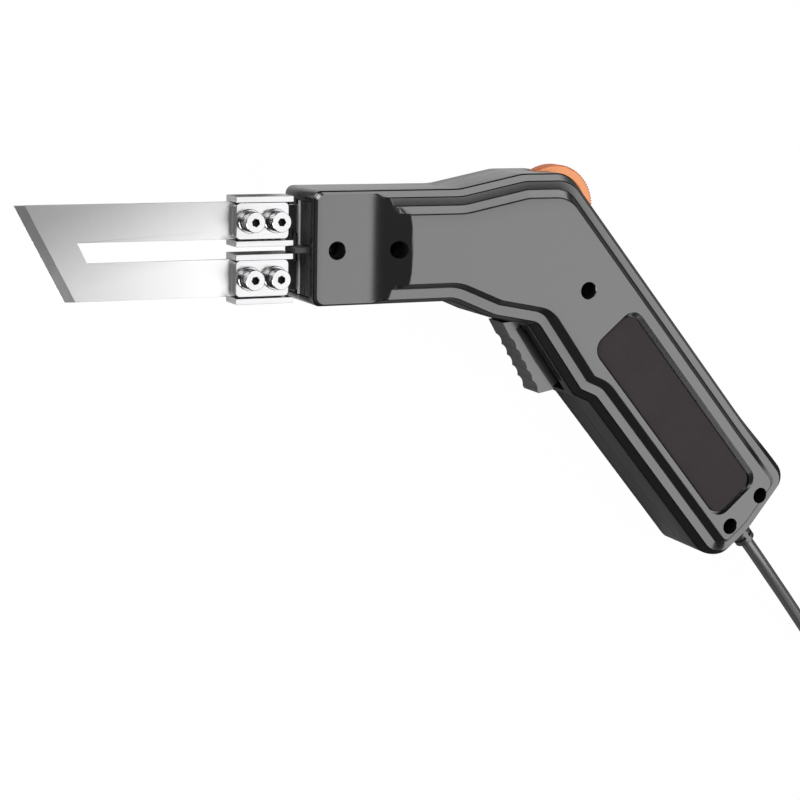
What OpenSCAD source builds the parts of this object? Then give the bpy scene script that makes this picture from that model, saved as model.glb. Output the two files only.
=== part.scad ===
// Electric hot knife, lying on its right side on a table.
// The origin is on the table under the elbow, where the nose axis and the handle axis cross.
// X runs from the blade tip to the back, Y up the housing, Z up from the table. Millimetres.

/* [Housing] */
// Nose front face to the elbow
nose_length = 109; // [104:1:118]
// Housing above the nose axis
nose_above = 24.7; // [24:0.1:27]
// Housing below the nose axis
nose_below = 23; // [22.5:0.1:26]
// Rise of the top line over the nose
crest_rise = 6; // [4:0.5:8]
// Start of that rise, ahead of the elbow
crest_start = 42.6; // [40:0.2:48]
// End of that rise, ahead of the elbow
crest_end = 12.7; // [10:0.1:16]
// End of the flat nose bottom, ahead of the elbow
belly_start = 45; // [42:1:48]
// Corner where the belly levels out, ahead of the elbow
belly_turn = 26; // [24:1:29]
// Drop of that corner below the nose axis
belly_turn_drop = 31; // [30:0.5:32]
// Depth of the belly below the nose axis, at the trigger
belly_drop = 34.5; // [34:0.5:36]
// Wall of the half shells
wall = 2.4; // [2:0.1:2.8]

/* [Handle] */
// Angle of the handle below the nose axis
handle_angle = 50; // [47:1:54]
// Elbow to the end of the handle
handle_length = 173.5; // [168:0.5:185]
// Width of the handle across its side view
handle_width = 54.5; // [53:0.5:58]
// Finger hook under the trigger, in front of the handle
hook_depth = 3.9; // [3:0.1:4.5]
// Where the hook's peak lies along the handle
hook_at = 61.5; // [61.5:0.5:64]

/* [Side levels] */
// Half thickness at the outer edge
edge_half = 15; // [14.5:0.1:15.8]
// Half thickness of the ledge round the panel
ledge_half = 18.2; // [17.6:0.1:18.6]
// Half thickness at the panel's edge
panel_edge_half = 21; // [20.6:0.1:21.3]
// Half thickness at the panel's crown
panel_half = 21.5; // [21.4:0.1:22.5]
// Half thickness of the nose
nose_half = 16.7; // [16.2:0.1:17.2]
// Slope of the ramp from the nose up to the panel, degrees
ramp_angle = 20; // [17:1:24]
// Nose front face to the foot of the ramp
ramp_foot = 28.5; // [27:0.5:30]

/* [Rim widths] */
// Chamfer along the top
top_chamfer = 3.4; // [2.5:0.1:4]
// Ledge along the top
top_ledge = 3.4; // [2.5:0.1:4]
// Step up to the panel along the top
top_step = 3.3; // [2.5:0.1:4]
// Chamfer along the back
back_chamfer = 1.6; // [1:0.1:3]
// Ledge along the back
back_ledge = 3.6; // [3:0.1:4.5]
// Step up to the panel along the back
back_step = 1.6; // [1.6:0.1:3]
// Chamfer along the handle's front
front_chamfer = 4; // [3:0.1:4.5]
// Ledge along the handle's front
front_ledge = 4; // [4:0.1:6]
// Step up to the panel along the handle's front
front_step = 3.4; // [2:0.1:3.4]
// Chamfer along the bottom
bottom_chamfer = 2; // [1.5:0.1:3]
// Ledge along the bottom
bottom_ledge = 4.4; // [3:0.1:4.4]
// Step up to the panel along the bottom
bottom_step = 2; // [1.5:0.1:2.5]
// Chamfer round the handle's end
end_chamfer = 0.8; // [0.5:0.1:1.5]
// Ledge round the handle's end
end_ledge = 1.4; // [1:0.1:2]
// Step up to the panel round the handle's end
end_step = 0.6; // [0.4:0.1:1]

/* [Blade] */
// Nose face to the blade's long tip
blade_reach = 119.8; // [112:0.2:135]
// Blade width
blade_width = 39; // [38:0.2:39.4]
// Blade thickness
blade_thick = 1.4; // [1:0.1:1.8]
// Lean of the tip edge, along the blade
tip_lean = 20; // [12:1:24]
// Width of the ground edge
bevel_width = 4.4; // [3:0.2:6]
// Slot between the two arms
slot_width = 8.2; // [8:0.1:9]
// Web between the slot's end and the blade's long tip
slot_web = 27.3; // [24:0.1:32]

/* [Terminals] */
// Nose face to the front of the channels
channel_reach = 30.4; // [29.4:0.2:34]
// Channel length
channel_length = 25; // [24.6:0.2:26]
// Channel depth
channel_depth = 12; // [10:0.5:13]
// Flange thickness
flange = 2.4; // [2:0.1:2.6]
// Web thickness
web = 3.3; // [3:0.1:3.6]
// Clamp plate length
clamp_length = 23; // [21:0.5:23.6]
// Clamp plate thickness
clamp_thick = 4.6; // [3.5:0.1:6]
// Spacing of the clamp screws along the blade
clamp_screw_pitch = 11.3; // [11:0.1:11.6]
// Clamp screw thread
clamp_screw_d = 5; // [4.4:0.1:5.2]
// Clamp screw head
clamp_head_d = 8.5; // [7.5:0.1:9]
// Clamp screw head height
clamp_head_h = 5; // [4:0.1:5.5]
// Tail of each terminal inside the nose
tail_length = 26; // [24:0.5:28]
// Tail and busbar width
tail_width = 12; // [10.5:0.5:12.5]
// Busbar thickness
busbar_thick = 2.4; // [1.6:0.1:2.8]

/* [Nose] */
// Half height of the opening in the nose face
opening_half_y = 19.8; // [18:0.1:20]
// Half width of the opening in the nose face
opening_half_z = 12.4; // [11:0.1:12.8]
// Insulating board thickness
board_sheet = 1.4; // [1:0.1:1.8]
// Insulating board length
board_length = 31; // [29:0.5:32]
// Nose plate thickness
nose_plate = 2.4; // [2:0.1:3]
// Divider between the terminals, thickness
divider = 2.5; // [2:0.1:3]
// Divider in front of the nose face
divider_reach = 6; // [4:0.5:9]

/* [Screws] */
// Counterbore of the housing screws
counterbore_d = 7.4; // [7:0.1:8]
// Housing screw head
shell_head_d = 6.4; // [5.6:0.1:6.8]
// Housing screw thread
shell_screw_d = 3; // [2.6:0.1:3.4]
// Nose face to the first housing screw
screw_a = 10.6; // [10:0.1:11.6]
// Nose face to the second housing screw
screw_b = 37.3; // [36.9:0.1:38]
// Panel screw along the handle
screw_c = 27.2; // [26.6:0.1:28]
// Handle screws, back from the handle's end
screw_end = 9; // [8.5:0.1:10]
// Half spacing of the handle screws
screw_end_half = 10.3; // [10:0.1:11]

/* [Grip pads] */
// Start of the pad along the handle
pad_start = 49; // [46:1:50]
// Pad length
pad_length = 107; // [95:1:108]
// Pad width
pad_width = 24.5; // [20:0.5:25]
// Pad corner radius
pad_corner = 6; // [3:0.5:8]
// Pad thickness
pad_thick = 1.2; // [0.8:0.1:1.4]
// Pad face below the panel
pad_sunk = 1; // [0.7:0.1:1.2]

/* [Trigger] */
// Trigger width
trigger_width = 14; // [12:0.5:15]
// Trigger pin
pin_d = 3.2; // [2.6:0.1:4]
// Pin along the handle
pin_along = 22.4; // [21.8:0.1:23]
// Pin ahead of the handle axis
pin_ahead = 20.3; // [19.8:0.1:20.8]
// Finger scallops
scallops = 5; // [3:1:6]
// Scallop depth
scallop_depth = 0.9; // [0.4:0.1:1.2]

/* [Speed dial] */
// Dial diameter
dial_d = 37; // [34:0.5:38]
// Dial thickness
dial_thick = 8; // [6:0.5:9]
// Dial axis back from the elbow
dial_x = 10.2; // [9.6:0.1:10.8]
// Dial axis above the nose axis
dial_y = 14.9; // [14.4:0.1:15.4]
// Teeth round the rim
dial_teeth = 60; // [40:1:72]
// Dial shaft
shaft_d = 3; // [2.6:0.1:4]

/* [Inside] */
// Transformer core length
core_length = 40; // [38:0.5:41]
// Transformer core stack
core_stack = 20; // [18:0.5:21]
// Centre limb height
limb = 12; // [11:0.5:12.5]
// Window height
window = 7; // [6.6:0.2:7]
// Core yoke
yoke = 6; // [5:0.5:6]
// Control board thickness
card = 1.6; // [1.2:0.1:2]
// Switch length along the handle
switch_length = 22; // [19:0.5:24]
// Switch width
switch_width = 18; // [16:0.5:19]
// Switch thickness
switch_thick = 16; // [14:0.5:18]

/* [Cord] */
// Mains cord diameter
cord_d = 6.2; // [5.6:0.1:6.4]
// Cord guard in front of the handle's end
guard_reach = 16; // [14:0.5:20]
// Cord guard diameter at the housing
guard_d = 10.4; // [9.6:0.1:10.8]
// Cord guard diameter at its tip
guard_tip_d = 9.8; // [9:0.1:10.2]
// Cord loop spacing in the stored coil
loop_pitch = 6.9; // [6.9:0.1:7.2]
// Outer radius of the stored coil
coil_radius = 49.5; // [49:0.5:53]
// Coil tie width
tie_width = 7; // [5:0.5:10]
// Coil tie thickness
tie_thick = 0.6; // [0.4:0.1:0.8]
// Plug body length
plug_length = 32; // [28:1:38]
// Plug body width
plug_width = 26; // [24:1:30]
// Plug body thickness
plug_thick = 13.6; // [12.8:0.2:16]

/* [Clearances] */
// Loose fit between pieces
fit = 0.3; // [0.2:0.05:0.4]
// Running fit of turning pieces, radial
run = 0.06; // [0.03:0.01:0.1]

/* [Hidden] */
nose_x = -nose_length;
half_handle = handle_width / 2;
crest_y = nose_above + crest_rise;
end_along = handle_length - screw_end;
corner_steps = 5;
cavity_low = nose_half - wall;
cavity_high = panel_edge_half - wall - 1;
arm = (blade_width - slot_width) / 2;
arm_y = (blade_width + slot_width) / 4;
channel_inner = arm + fit;
channel_outer = channel_inner + 2 * flange;
blade_half = blade_thick / 2;
web_back = -blade_half - web;
channel_front = web_back + channel_depth;
clamp_top = blade_half + clamp_thick;
flat_washer = 1;
spring_washer = 1.3;
head_seat = clamp_top + flat_washer + spring_washer;
clamp_middle = -channel_reach + channel_length / 2;
blade_rear = -channel_reach + channel_length - 1;
slot_reach = blade_reach - slot_web;
core_front = nose_x + screw_b + counterbore_d / 2 + 4.5;
core_y = 0.5;
core_height = limb + 2 * window + 2 * yoke;
dial_n = dial_x * sin(handle_angle) + dial_y * cos(handle_angle);
dial_along = dial_x * cos(handle_angle) - dial_y * sin(handle_angle);
card_top = -cavity_low + 3;
switch_start = 37.5;
switch_face = -15.2;
plunger_along = switch_start + 8.5;
plunger_d = 4.4;
guard_n = -0.5;
cord_r = cord_d / 2;
floor_z = -panel_half;
loop_low = floor_z + tie_thick + 0.1 + cord_r;
loop_high = loop_low + loop_pitch;
plug_z = floor_z + plug_thick / 2;
coil_along = handle_length + 119;
coil_n = 54.7;
coil_from = 290;
turns_in = 3 + 5 / 12;
turns_all = 2 * turns_in + 0.5;
rings_per_loop = 24;
coil_rings = round(turns_all * rings_per_loop);
inner_radius = coil_radius - turns_in * loop_pitch;
climb_dip = 1.2;
nose_field = wall - 0.4;
tail_rings = 8;
tail_reach = 48;

// Mains cord, handle axes: along the handle, across it, height over the mid plane
cord_start = handle_length - 27.5;
cord_points = [
    [cord_start, guard_n, 0],
    [cord_start + 14, guard_n, 0],
    [cord_start + 28, guard_n, 0],
    [cord_start + 46, guard_n, 0],
    [cord_start + 60, -0.5, -0.8],
    [cord_start + 74, -0.2, -2.8],
    [cord_start + 88, 0.4, -5.6],
    [cord_start + 102, 1, -8.8],
    [cord_start + 116, 1.6, -12],
    [cord_start + 129, 2.3, -14.8],
    [cord_start + 141, 3.4, -16.7],
    [cord_start + 150, 4.9, loop_low + 0.2]
];

// Piece names

// Point given along the handle axis and across it
function handle_point(along, across) = [
    along * cos(handle_angle) + across * sin(handle_angle),
    -along * sin(handle_angle) + across * cos(handle_angle)
];

function unit(v) = v / norm(v);

// Inward normal of an outline edge
function inward(e) = [e[1], -e[0]];

// Outline corners with their radii, clockwise from the back of the handle's end
corners = [
    concat(handle_point(handle_length - 6.1, half_handle), 8),
    concat(handle_point(handle_length, -4), 40),
    concat(handle_point(handle_length - 1, -half_handle), 10),
    concat(handle_point(hook_at + 8, -half_handle), 4),
    concat(handle_point(hook_at, -half_handle - hook_depth), 4),
    [(-half_handle - 1.15 + belly_drop * cos(handle_angle)) / sin(handle_angle), -belly_drop, 4],
    [-belly_turn, -belly_turn_drop, 14],
    [-belly_start, -nose_below, 14],
    [nose_x, -nose_below, 3],
    [nose_x, nose_above, 3.5],
    [-crest_start, nose_above, 25],
    [-crest_end, crest_y, 20],
    [(half_handle - crest_y * cos(handle_angle)) / sin(handle_angle), crest_y, 9]
];
corner_count = len(corners);

// Widths of the chamfer, the ledge and the step, edge by edge
top_rim = [top_chamfer, top_ledge, top_step];
back_rim = [back_chamfer, back_ledge, back_step];
front_rim = [front_chamfer, front_ledge, front_step];
bottom_rim = [bottom_chamfer, bottom_ledge, bottom_step];
end_rim = [end_chamfer, end_ledge, end_step];
nose_rim = [4, 2, 2];
edge_rims = [end_rim, end_rim, front_rim, front_rim, front_rim, bottom_rim, bottom_rim, bottom_rim,
    nose_rim, top_rim, top_rim, top_rim, back_rim];

function corner_at(i) = let (c = corners[(i + corner_count) % corner_count]) [c[0], c[1]];
function edge_way(i) = unit(corner_at(i + 1) - corner_at(i));

// Corner moved inward by one distance for each edge
function inset_corner(i, reach) = let (
    before = inward(edge_way(i - 1)),
    after = inward(edge_way(i)),
    span = before[0] * after[1] - before[1] * after[0],
    near = reach[(i - 1 + corner_count) % corner_count],
    far = reach[i]
) corner_at(i) + [near * after[1] - far * before[1], far * before[0] - near * after[0]] / span;

// Rounded corner of an inset outline
function inset_arc(i, reach) = let (
    before = edge_way(i - 1),
    after = edge_way(i),
    turn = atan2(before[0] * after[1] - before[1] * after[0], before * after),
    mean = (reach[(i - 1 + corner_count) % corner_count] + reach[i]) / 2,
    radius = turn < 0 ? max(corners[i][2] - mean, 0.8) : corners[i][2] + mean,
    tangent = radius * tan(abs(turn) / 2),
    from = inset_corner(i, reach) - before * tangent,
    side = turn < 0 ? 1 : -1,
    centre = from + inward(before) * radius * side,
    arm = from - centre
) [for (k = [0 : corner_steps]) let (a = turn * k / corner_steps)
    centre + [arm[0] * cos(a) - arm[1] * sin(a), arm[0] * sin(a) + arm[1] * cos(a)]];

// Whole inset outline, starting at a point on the back line that sees every other point
function outline(reach) = concat(
    [handle_point(5, half_handle - reach[corner_count - 1])],
    [for (i = [0 : corner_count - 1]) each inset_arc(i, reach)]
);

function same(d) = [for (r = edge_rims) d];
function chamfer_reach() = [for (r = edge_rims) r[0]];
function ledge_reach() = [for (r = edge_rims) r[0] + r[1]];
function panel_reach(more) = [for (r = edge_rims) r[0] + r[1] + r[2] + more];

// Solid through a stack of outlines, each with its height
module loft(rings, heights) {
    size = len(rings[0]);
    count = len(rings);
    points = [for (j = [0 : count - 1]) for (p = rings[j]) [p[0], p[1], heights[j]]];
    sides = [for (j = [0 : count - 2]) for (i = [0 : size - 1]) for (half = [0, 1])
        let (a = j * size + i, b = j * size + (i + 1) % size)
        half == 0 ? [b, b + size, a + size] : [b, a + size, a]];
    bottom = concat([0], [for (i = [size - 1 : -1 : 1]) i]);
    top = [for (i = [0 : size - 1]) (count - 1) * size + i];
    polyhedron(points = points, faces = concat(sides, [bottom, top]), convexity = 10);
}

// Outside of one half shell
module shell_outside() {
    loft(
        [outline(same(0)), outline(same(0)), outline(chamfer_reach()), outline(ledge_reach()),
            outline(panel_reach(0)), outline(panel_reach(6))],
        [0, edge_half, ledge_half, ledge_half + 0.5, panel_edge_half, panel_half]
    );
}

// Space over the nose and its ramp
module nose_relief(drop) {
    foot = nose_x + ramp_foot;
    bend = 5;
    rise = panel_half + 3 - nose_half;
    translate([0, 60, -drop])
        rotate([90, 0, 0])
            linear_extrude(120)
                polygon([
                    [nose_x - 10, nose_half],
                    [foot - bend, nose_half],
                    [foot + bend * 0.1, nose_half + bend * 0.28],
                    [foot + bend * 1.2, nose_half + bend * 1.2 * tan(ramp_angle)],
                    [foot + rise / tan(ramp_angle), nose_half + rise],
                    [foot + rise / tan(ramp_angle), nose_half + rise + 20],
                    [nose_x - 10, nose_half + rise + 20]
                ]);
}

// Hollow of one half shell, deeper round the transformer
module shell_hollow() {
    translate([0, 0, -1])
        linear_extrude(cavity_low + 1)
            polygon(outline(same(wall)));
    translate([core_front - 1.5, core_y - core_height / 2 + yoke - 2, 0])
        cube([core_length - yoke + 1, core_height - 2 * yoke + 4, cavity_high]);
}

// Places children along the handle and across it
module on_handle(along, across) {
    translate(handle_point(along, across))
        rotate(-handle_angle)
            children();
}

// Every housing screw position
module at_screws() {
    translate([nose_x + screw_a, 0, 0])
        children();
    translate([nose_x + screw_b, 0, 0])
        children();
    on_handle(screw_c, 1.2)
        children();
    for (side = [-1, 1])
        on_handle(end_along, side * screw_end_half + 0.4)
            children();
}

function round_rect(l, w, r) = [for (c = [[1, 1, 0], [-1, 1, 90], [-1, -1, 180], [1, -1, 270]])
    for (k = [0 : 6]) [c[0] * (l / 2 - r) + r * cos(c[2] + 15 * k), c[1] * (w / 2 - r) + r * sin(c[2] + 15 * k)]];

// Grip pad outline raised to a height
module pad_prism(grow, h) {
    on_handle(pad_start + pad_length / 2, -0.3)
        linear_extrude(h)
            polygon(round_rect(pad_length + 2 * grow, pad_width + 2 * grow, pad_corner + grow));
}

// Posts that hold the inner pieces, in both halves
module posts() {
    for (x = [core_front + 0.5, core_front + core_length - 4.5], y = [-1, 1])
        translate([x, core_y + y * (core_height / 2 - 4) - 2, core_stack / 2])
            cube([4, 4, cavity_low + 1 - core_stack / 2]);
    for (along = [switch_start + 2, switch_start + switch_length - 6])
        on_handle(along, switch_face + switch_width / 2 - 3)
            translate([0, 0, switch_thick / 2])
                cube([4, 6, cavity_low + 1 - switch_thick / 2]);
    on_handle(pin_along, -pin_ahead)
        translate([0, 0, trigger_width / 2 + 0.6])
            cylinder(d = pin_d + 4, h = cavity_low + 1 - trigger_width / 2 - 0.6, $fn = 48);
    at_screws()
        cylinder(d = counterbore_d + 2.6, h = cavity_low + 1, $fn = 48);
}

// Slots and holes that cross both halves
module crossing_cuts() {
    translate([dial_x, dial_y, -1])
        cylinder(d = dial_d + 2, h = dial_thick / 2 + 1.6, $fn = 96);
    on_handle(17.2, -40)
        translate([0, 0, -1])
            cube([hook_at - 17.2 - 1.5, 27, trigger_width / 2 + 1.6]);
    on_handle(25.2, -40)
        translate([0, 0, -1])
            cube([hook_at - 25.2 - 1.5, 41 - half_handle + wall, trigger_width / 2 + 4]);
    on_handle(handle_length - 20, guard_n)
        rotate([0, 90, 0])
            cylinder(d = guard_d + 2 * run, h = 30, $fn = 64);
    translate([nose_x - 1, -opening_half_y, -1])
        cube([wall + 2, 2 * opening_half_y, opening_half_z + 1]);
    on_handle(pin_along, -pin_ahead)
        translate([0, 0, -1])
            cylinder(d = pin_d, h = trigger_width / 2 + 5, $fn = 48);
    translate([0, 0, panel_half - pad_sunk - pad_thick])
        pad_prism(fit, 10);
}

// One half shell before its own screw holes
module half_shell() {
    difference() {
        union() {
            difference() {
                shell_outside();
                nose_relief(0);
                shell_hollow();
            }
            posts();
        }
        crossing_cuts();
    }
}

// Upper half, with the screw counterbores and the dial's upper bearing
module left_shell() {
    color("DimGray")
        difference() {
            union() {
                half_shell();
                translate([dial_x, dial_y, dial_thick / 2 + 1.2])
                    cylinder(d = shaft_d + 4, h = cavity_low + 0.6 - dial_thick / 2, $fn = 48);
            }
            at_screws()
                translate([0, 0, -1])
                    cylinder(d = shell_screw_d + 2 * fit, h = 10, $fn = 32);
            at_screws()
                translate([0, 0, 4])
                    cylinder(d = counterbore_d, h = 30, $fn = 48);
            translate([dial_x, dial_y, 0])
                cylinder(d = shaft_d + 2 * run, h = cavity_low, $fn = 48);
        }
}

// Lower half, with the screw pilots, the card's posts and the cord clamp's posts
module right_shell() {
    color("DimGray")
        mirror([0, 0, 1])
            difference() {
                union() {
                    half_shell();
                    for (across = [-3, 11], along = [0, 15])
                        on_handle(along, across)
                            translate([-2, -2, -card_top + card])
                                cube([4, 4, cavity_low + 1 + card_top - card]);
                    for (side = [-1, 1])
                        on_handle(handle_length - 23, guard_n + side * (cord_r + 4))
                            translate([-3, -3, -cord_r])
                                cube([6, 6, cavity_low + 1 + cord_r]);
                }
                at_screws()
                    translate([0, 0, -1])
                        cylinder(d = shell_screw_d, h = 13, $fn = 32);
                for (side = [-1, 1])
                    on_handle(handle_length - 23, guard_n + side * (cord_r + 4))
                        translate([0, 0, -cord_r - 1])
                            cylinder(d = 2.6, h = 9, $fn = 32);
            }
}

// Five housing screws with cross recesses
module shell_screws() {
    color("Gray")
        at_screws()
            difference() {
                union() {
                    translate([0, 0, 4])
                        cylinder(d = shell_head_d, h = 2.4, $fn = 48);
                    translate([0, 0, -11.5])
                        cylinder(d = shell_screw_d - 2 * run, h = 15.6, $fn = 32);
                }
                for (a = [0, 90])
                    rotate(a)
                        translate([-2, -0.45, 5])
                            cube([4, 0.9, 3]);
            }
}

// Grip pad set in the panel
module left_grip_pad() {
    color("#302c2d")
        translate([0, 0, panel_half - pad_sunk - pad_thick])
            pad_prism(0, pad_thick);
}

module right_grip_pad() {
    color("#302c2d")
        mirror([0, 0, 1])
            translate([0, 0, panel_half - pad_sunk - pad_thick])
                pad_prism(0, pad_thick);
}

// Board in the mid plane of the nose, over the terminal tails
module insulating_board() {
    color("#e6e2d6")
        difference() {
            translate([nose_x, -opening_half_y + fit, -blade_half])
                cube([board_length, 2 * opening_half_y - 2 * fit, board_sheet]);
            translate([nose_x + screw_a, 0, -5])
                cylinder(d = counterbore_d + 2.6 + 2 * fit, h = 10, $fn = 48);
            at_busbar_bolts()
                translate([0, 0, -5])
                    cylinder(d = 4.2, h = 10, $fn = 32);
        }
}

module nose_slots(from, to) {
    for (side = [-1, 1]) {
        translate([-wall - 1, side * 17.6 - 1.6, from])
            cube([nose_plate + wall + 2, 3.2, to - from]);
        translate([-wall - 1, side * 4.6 - 2.3, from])
            cube([nose_plate + wall + 2, 4.6, to - from]);
    }
}

// Slotted plate behind the nose opening, on the upper side
module left_nose_plate() {
    low = -blade_half + board_sheet + fit;
    color("#1c1a1b")
        translate([nose_x + wall, 0, 0])
            difference() {
                union() {
                    translate([0, -nose_below + wall + fit, low])
                        cube([nose_plate, nose_below - wall - fit + opening_half_y, cavity_low - fit - low]);
                    translate([-nose_field, fit - opening_half_y, low])
                        cube([nose_field + 1, 2 * (opening_half_y - fit), opening_half_z - fit - low]);
                }
                translate([-nose_field - 1, -divider / 2 - fit, low - 1])
                    cube([nose_field + 1, divider + 2 * fit, opening_half_z]);
                nose_slots(5.4, 6.8);
            }
}

// Slotted plate behind the nose opening, on the lower side
module right_nose_plate() {
    color("#1c1a1b")
        translate([nose_x + wall, 0, 0])
            difference() {
                union() {
                    translate([0, -nose_below + wall + fit, -cavity_low + fit])
                        cube([nose_plate, nose_below - wall - fit + opening_half_y,
                            cavity_low + web_back - 2 * fit]);
                    translate([-nose_field, fit - opening_half_y, fit - opening_half_z])
                        cube([nose_field + 1, 2 * (opening_half_y - fit), opening_half_z + web_back - 2 * fit]);
                }
                nose_slots(-8.4, -7);
            }
}

// Fin between the terminals
module terminal_divider() {
    color("#2b292a")
        translate([nose_x - divider_reach, -divider / 2, -blade_half + board_sheet + fit])
            cube([divider_reach + wall, divider, opening_half_z - fit + blade_half - board_sheet - fit]);
}

module at_clamp_screws() {
    for (step = [-0.5, 0.5])
        translate([nose_x + clamp_middle + step * clamp_screw_pitch, 0, 0])
            children();
}

module at_all_clamp_screws() {
    for (side = [-1, 1])
        translate([0, side * arm_y, 0])
            at_clamp_screws()
                children();
}

module at_busbar_bolts() {
    for (side = [-1, 1], step = [6, 18])
        translate([nose_x + step, side * arm_y, 0])
            children();
}

// Channel with a tail that runs into the nose
module terminal() {
    difference() {
        union() {
            translate([nose_x - channel_reach, arm_y - channel_outer / 2, web_back])
                cube([channel_length, channel_outer, channel_depth]);
            translate([nose_x - channel_reach + 1, arm_y - tail_width / 2, web_back])
                cube([channel_reach - 1 + tail_length, tail_width, web]);
        }
        translate([nose_x - channel_reach - 1, arm_y - channel_inner / 2, -blade_half])
            cube([channel_length + 2, channel_inner, channel_depth]);
        translate([0, arm_y, web_back - 1])
            at_clamp_screws()
                cylinder(d = clamp_screw_d, h = web + 2, $fn = 48);
        at_busbar_bolts()
            translate([0, 0, web_back - 1])
                cylinder(d = 4.2, h = web + 2, $fn = 32);
    }
}

module upper_terminal() {
    color("Silver")
        terminal();
}

module lower_terminal() {
    color("Silver")
        mirror([0, 1, 0])
            terminal();
}

// Plate that presses one blade arm on its web
module clamp_plate() {
    difference() {
        translate([nose_x + clamp_middle, arm_y, blade_half])
            linear_extrude(clamp_thick)
                polygon(round_rect(clamp_length, arm - fit, 2));
        translate([0, arm_y, 0])
            at_clamp_screws()
                cylinder(d = clamp_screw_d + 2 * fit, h = 20, $fn = 48);
    }
}

module upper_clamp_plate() {
    color("Silver")
        clamp_plate();
}

module lower_clamp_plate() {
    color("Silver")
        mirror([0, 1, 0])
            clamp_plate();
}

// Four socket-head clamp screws
module clamp_screws() {
    color("LightGray")
        at_all_clamp_screws()
            difference() {
                union() {
                    translate([0, 0, head_seat])
                        cylinder(d = clamp_head_d, h = clamp_head_h, $fn = 64);
                    translate([0, 0, web_back + 0.2])
                        cylinder(d = clamp_screw_d - 2 * run, h = head_seat - web_back, $fn = 48);
                }
                translate([0, 0, head_seat + clamp_head_h - 2.6])
                    cylinder(d = 4.6, h = 4, $fn = 6);
            }
}

// Split spring washers under the heads
module spring_washers() {
    color("Gray")
        at_all_clamp_screws()
            translate([0, 0, clamp_top + flat_washer])
                difference() {
                    cylinder(d = clamp_screw_d + 3.8, h = spring_washer, $fn = 64);
                    translate([0, 0, -1])
                        cylinder(d = clamp_screw_d + 2 * run, h = 4, $fn = 48);
                    rotate(40)
                        translate([0, -0.4, -1])
                            cube([10, 0.8, 4]);
                }
}

// Flat washers under the spring washers
module flat_washers() {
    color("LightGray")
        at_all_clamp_screws()
            translate([0, 0, clamp_top])
                difference() {
                    cylinder(d = clamp_screw_d + 5, h = flat_washer, $fn = 64);
                    translate([0, 0, -1])
                        cylinder(d = clamp_screw_d + 2 * fit, h = 4, $fn = 48);
                }
}

// Slotted blade with a leaning ground edge
module blade() {
    half = blade_width / 2;
    lean = atan2(tip_lean, blade_width);
    color("Gainsboro")
        translate([nose_x, 0, 0])
            difference() {
                translate([0, 0, -blade_half])
                    linear_extrude(blade_thick)
                        polygon([
                            [-blade_reach, half],
                            [blade_rear, half],
                            [blade_rear, slot_width / 2],
                            [-slot_reach - 2, slot_width / 2],
                            [-slot_reach + 2, -slot_width / 2],
                            [blade_rear, -slot_width / 2],
                            [blade_rear, -half],
                            [-blade_reach + tip_lean, -half]
                        ]);
                for (side = [0, 1])
                    mirror([0, 0, side])
                        translate([-blade_reach + bevel_width, half, blade_half])
                            rotate(lean)
                                rotate([0, -atan2(blade_half - 0.1, bevel_width * cos(lean)), 0])
                                    translate([-20, -60, 0])
                                        cube([20, 80, 5]);
                for (side = [-1, 1])
                    translate([-nose_x, side * arm_y, -5])
                        at_clamp_screws()
                            cylinder(d = clamp_screw_d + 2 * fit, h = 10, $fn = 48);
            }
}

// Copper bar from a terminal tail, stepped down past the core to the strap
module busbar() {
    top = web_back;
    low = -core_stack / 2 - fit;
    step = core_front - 4;
    start = nose_x + 2 * wall + nose_plate;
    lug_width = core_height / 2 - 7 - arm_y + tail_width / 2;
    difference() {
        union() {
            translate([start, arm_y - tail_width / 2, top - busbar_thick])
                cube([step + busbar_thick - start, tail_width, busbar_thick]);
            translate([step, arm_y - tail_width / 2, low - busbar_thick])
                cube([busbar_thick, tail_width, top - low + busbar_thick]);
            translate([step, arm_y - tail_width / 2, low - busbar_thick])
                cube([core_front + yoke - step - 0.1, lug_width, busbar_thick]);
        }
        translate([nose_x + 18, arm_y, -30])
            cylinder(d = 4.2, h = 60, $fn = 32);
    }
}

module upper_busbar() {
    color("Chocolate")
        busbar();
}

module lower_busbar() {
    color("Chocolate")
        mirror([0, 1, 0])
            busbar();
}

// Hexagon bolts through the busbars, tails and board
module busbar_bolts() {
    top = -blade_half + board_sheet;
    color("Gray")
        for (side = [-1, 1])
            translate([nose_x + 18, side * arm_y, 0]) {
                translate([0, 0, web_back - busbar_thick - 2.8])
                    cylinder(d = 8, h = 2.8, $fn = 6);
                translate([0, 0, web_back - busbar_thick - 0.1])
                    cylinder(d = 4, h = top - web_back + busbar_thick + 5, $fn = 32);
            }
}

// Nuts on the bolts
module busbar_nuts() {
    color("Gray")
        for (side = [-1, 1])
            translate([nose_x + 18, side * arm_y, -blade_half + board_sheet])
                difference() {
                    cylinder(d = 8, h = 3.2, $fn = 6);
                    translate([0, 0, -1])
                        cylinder(d = 4 + 2 * run, h = 6, $fn = 32);
                }
}

// Laminated core with two windows
module transformer_core() {
    color("#5a5a60")
        translate([core_front, core_y - core_height / 2, -core_stack / 2])
            difference() {
                cube([core_length, core_height, core_stack]);
                for (y = [yoke, yoke + window + limb])
                    translate([yoke, y, -1])
                        cube([core_length - 2 * yoke, window, core_stack + 2]);
            }
}

// Box frame round the centre limb, given its inner and outer half sizes
module limb_frame(from, long, in_y, in_z, out_y, out_z) {
    translate([core_front + yoke + from, core_y, 0])
        difference() {
            translate([0, -out_y, -out_z])
                cube([long, 2 * out_y, 2 * out_z]);
            translate([-1, -in_y, -in_z])
                cube([long + 2, 2 * in_y, 2 * in_z]);
        }
}

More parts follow.
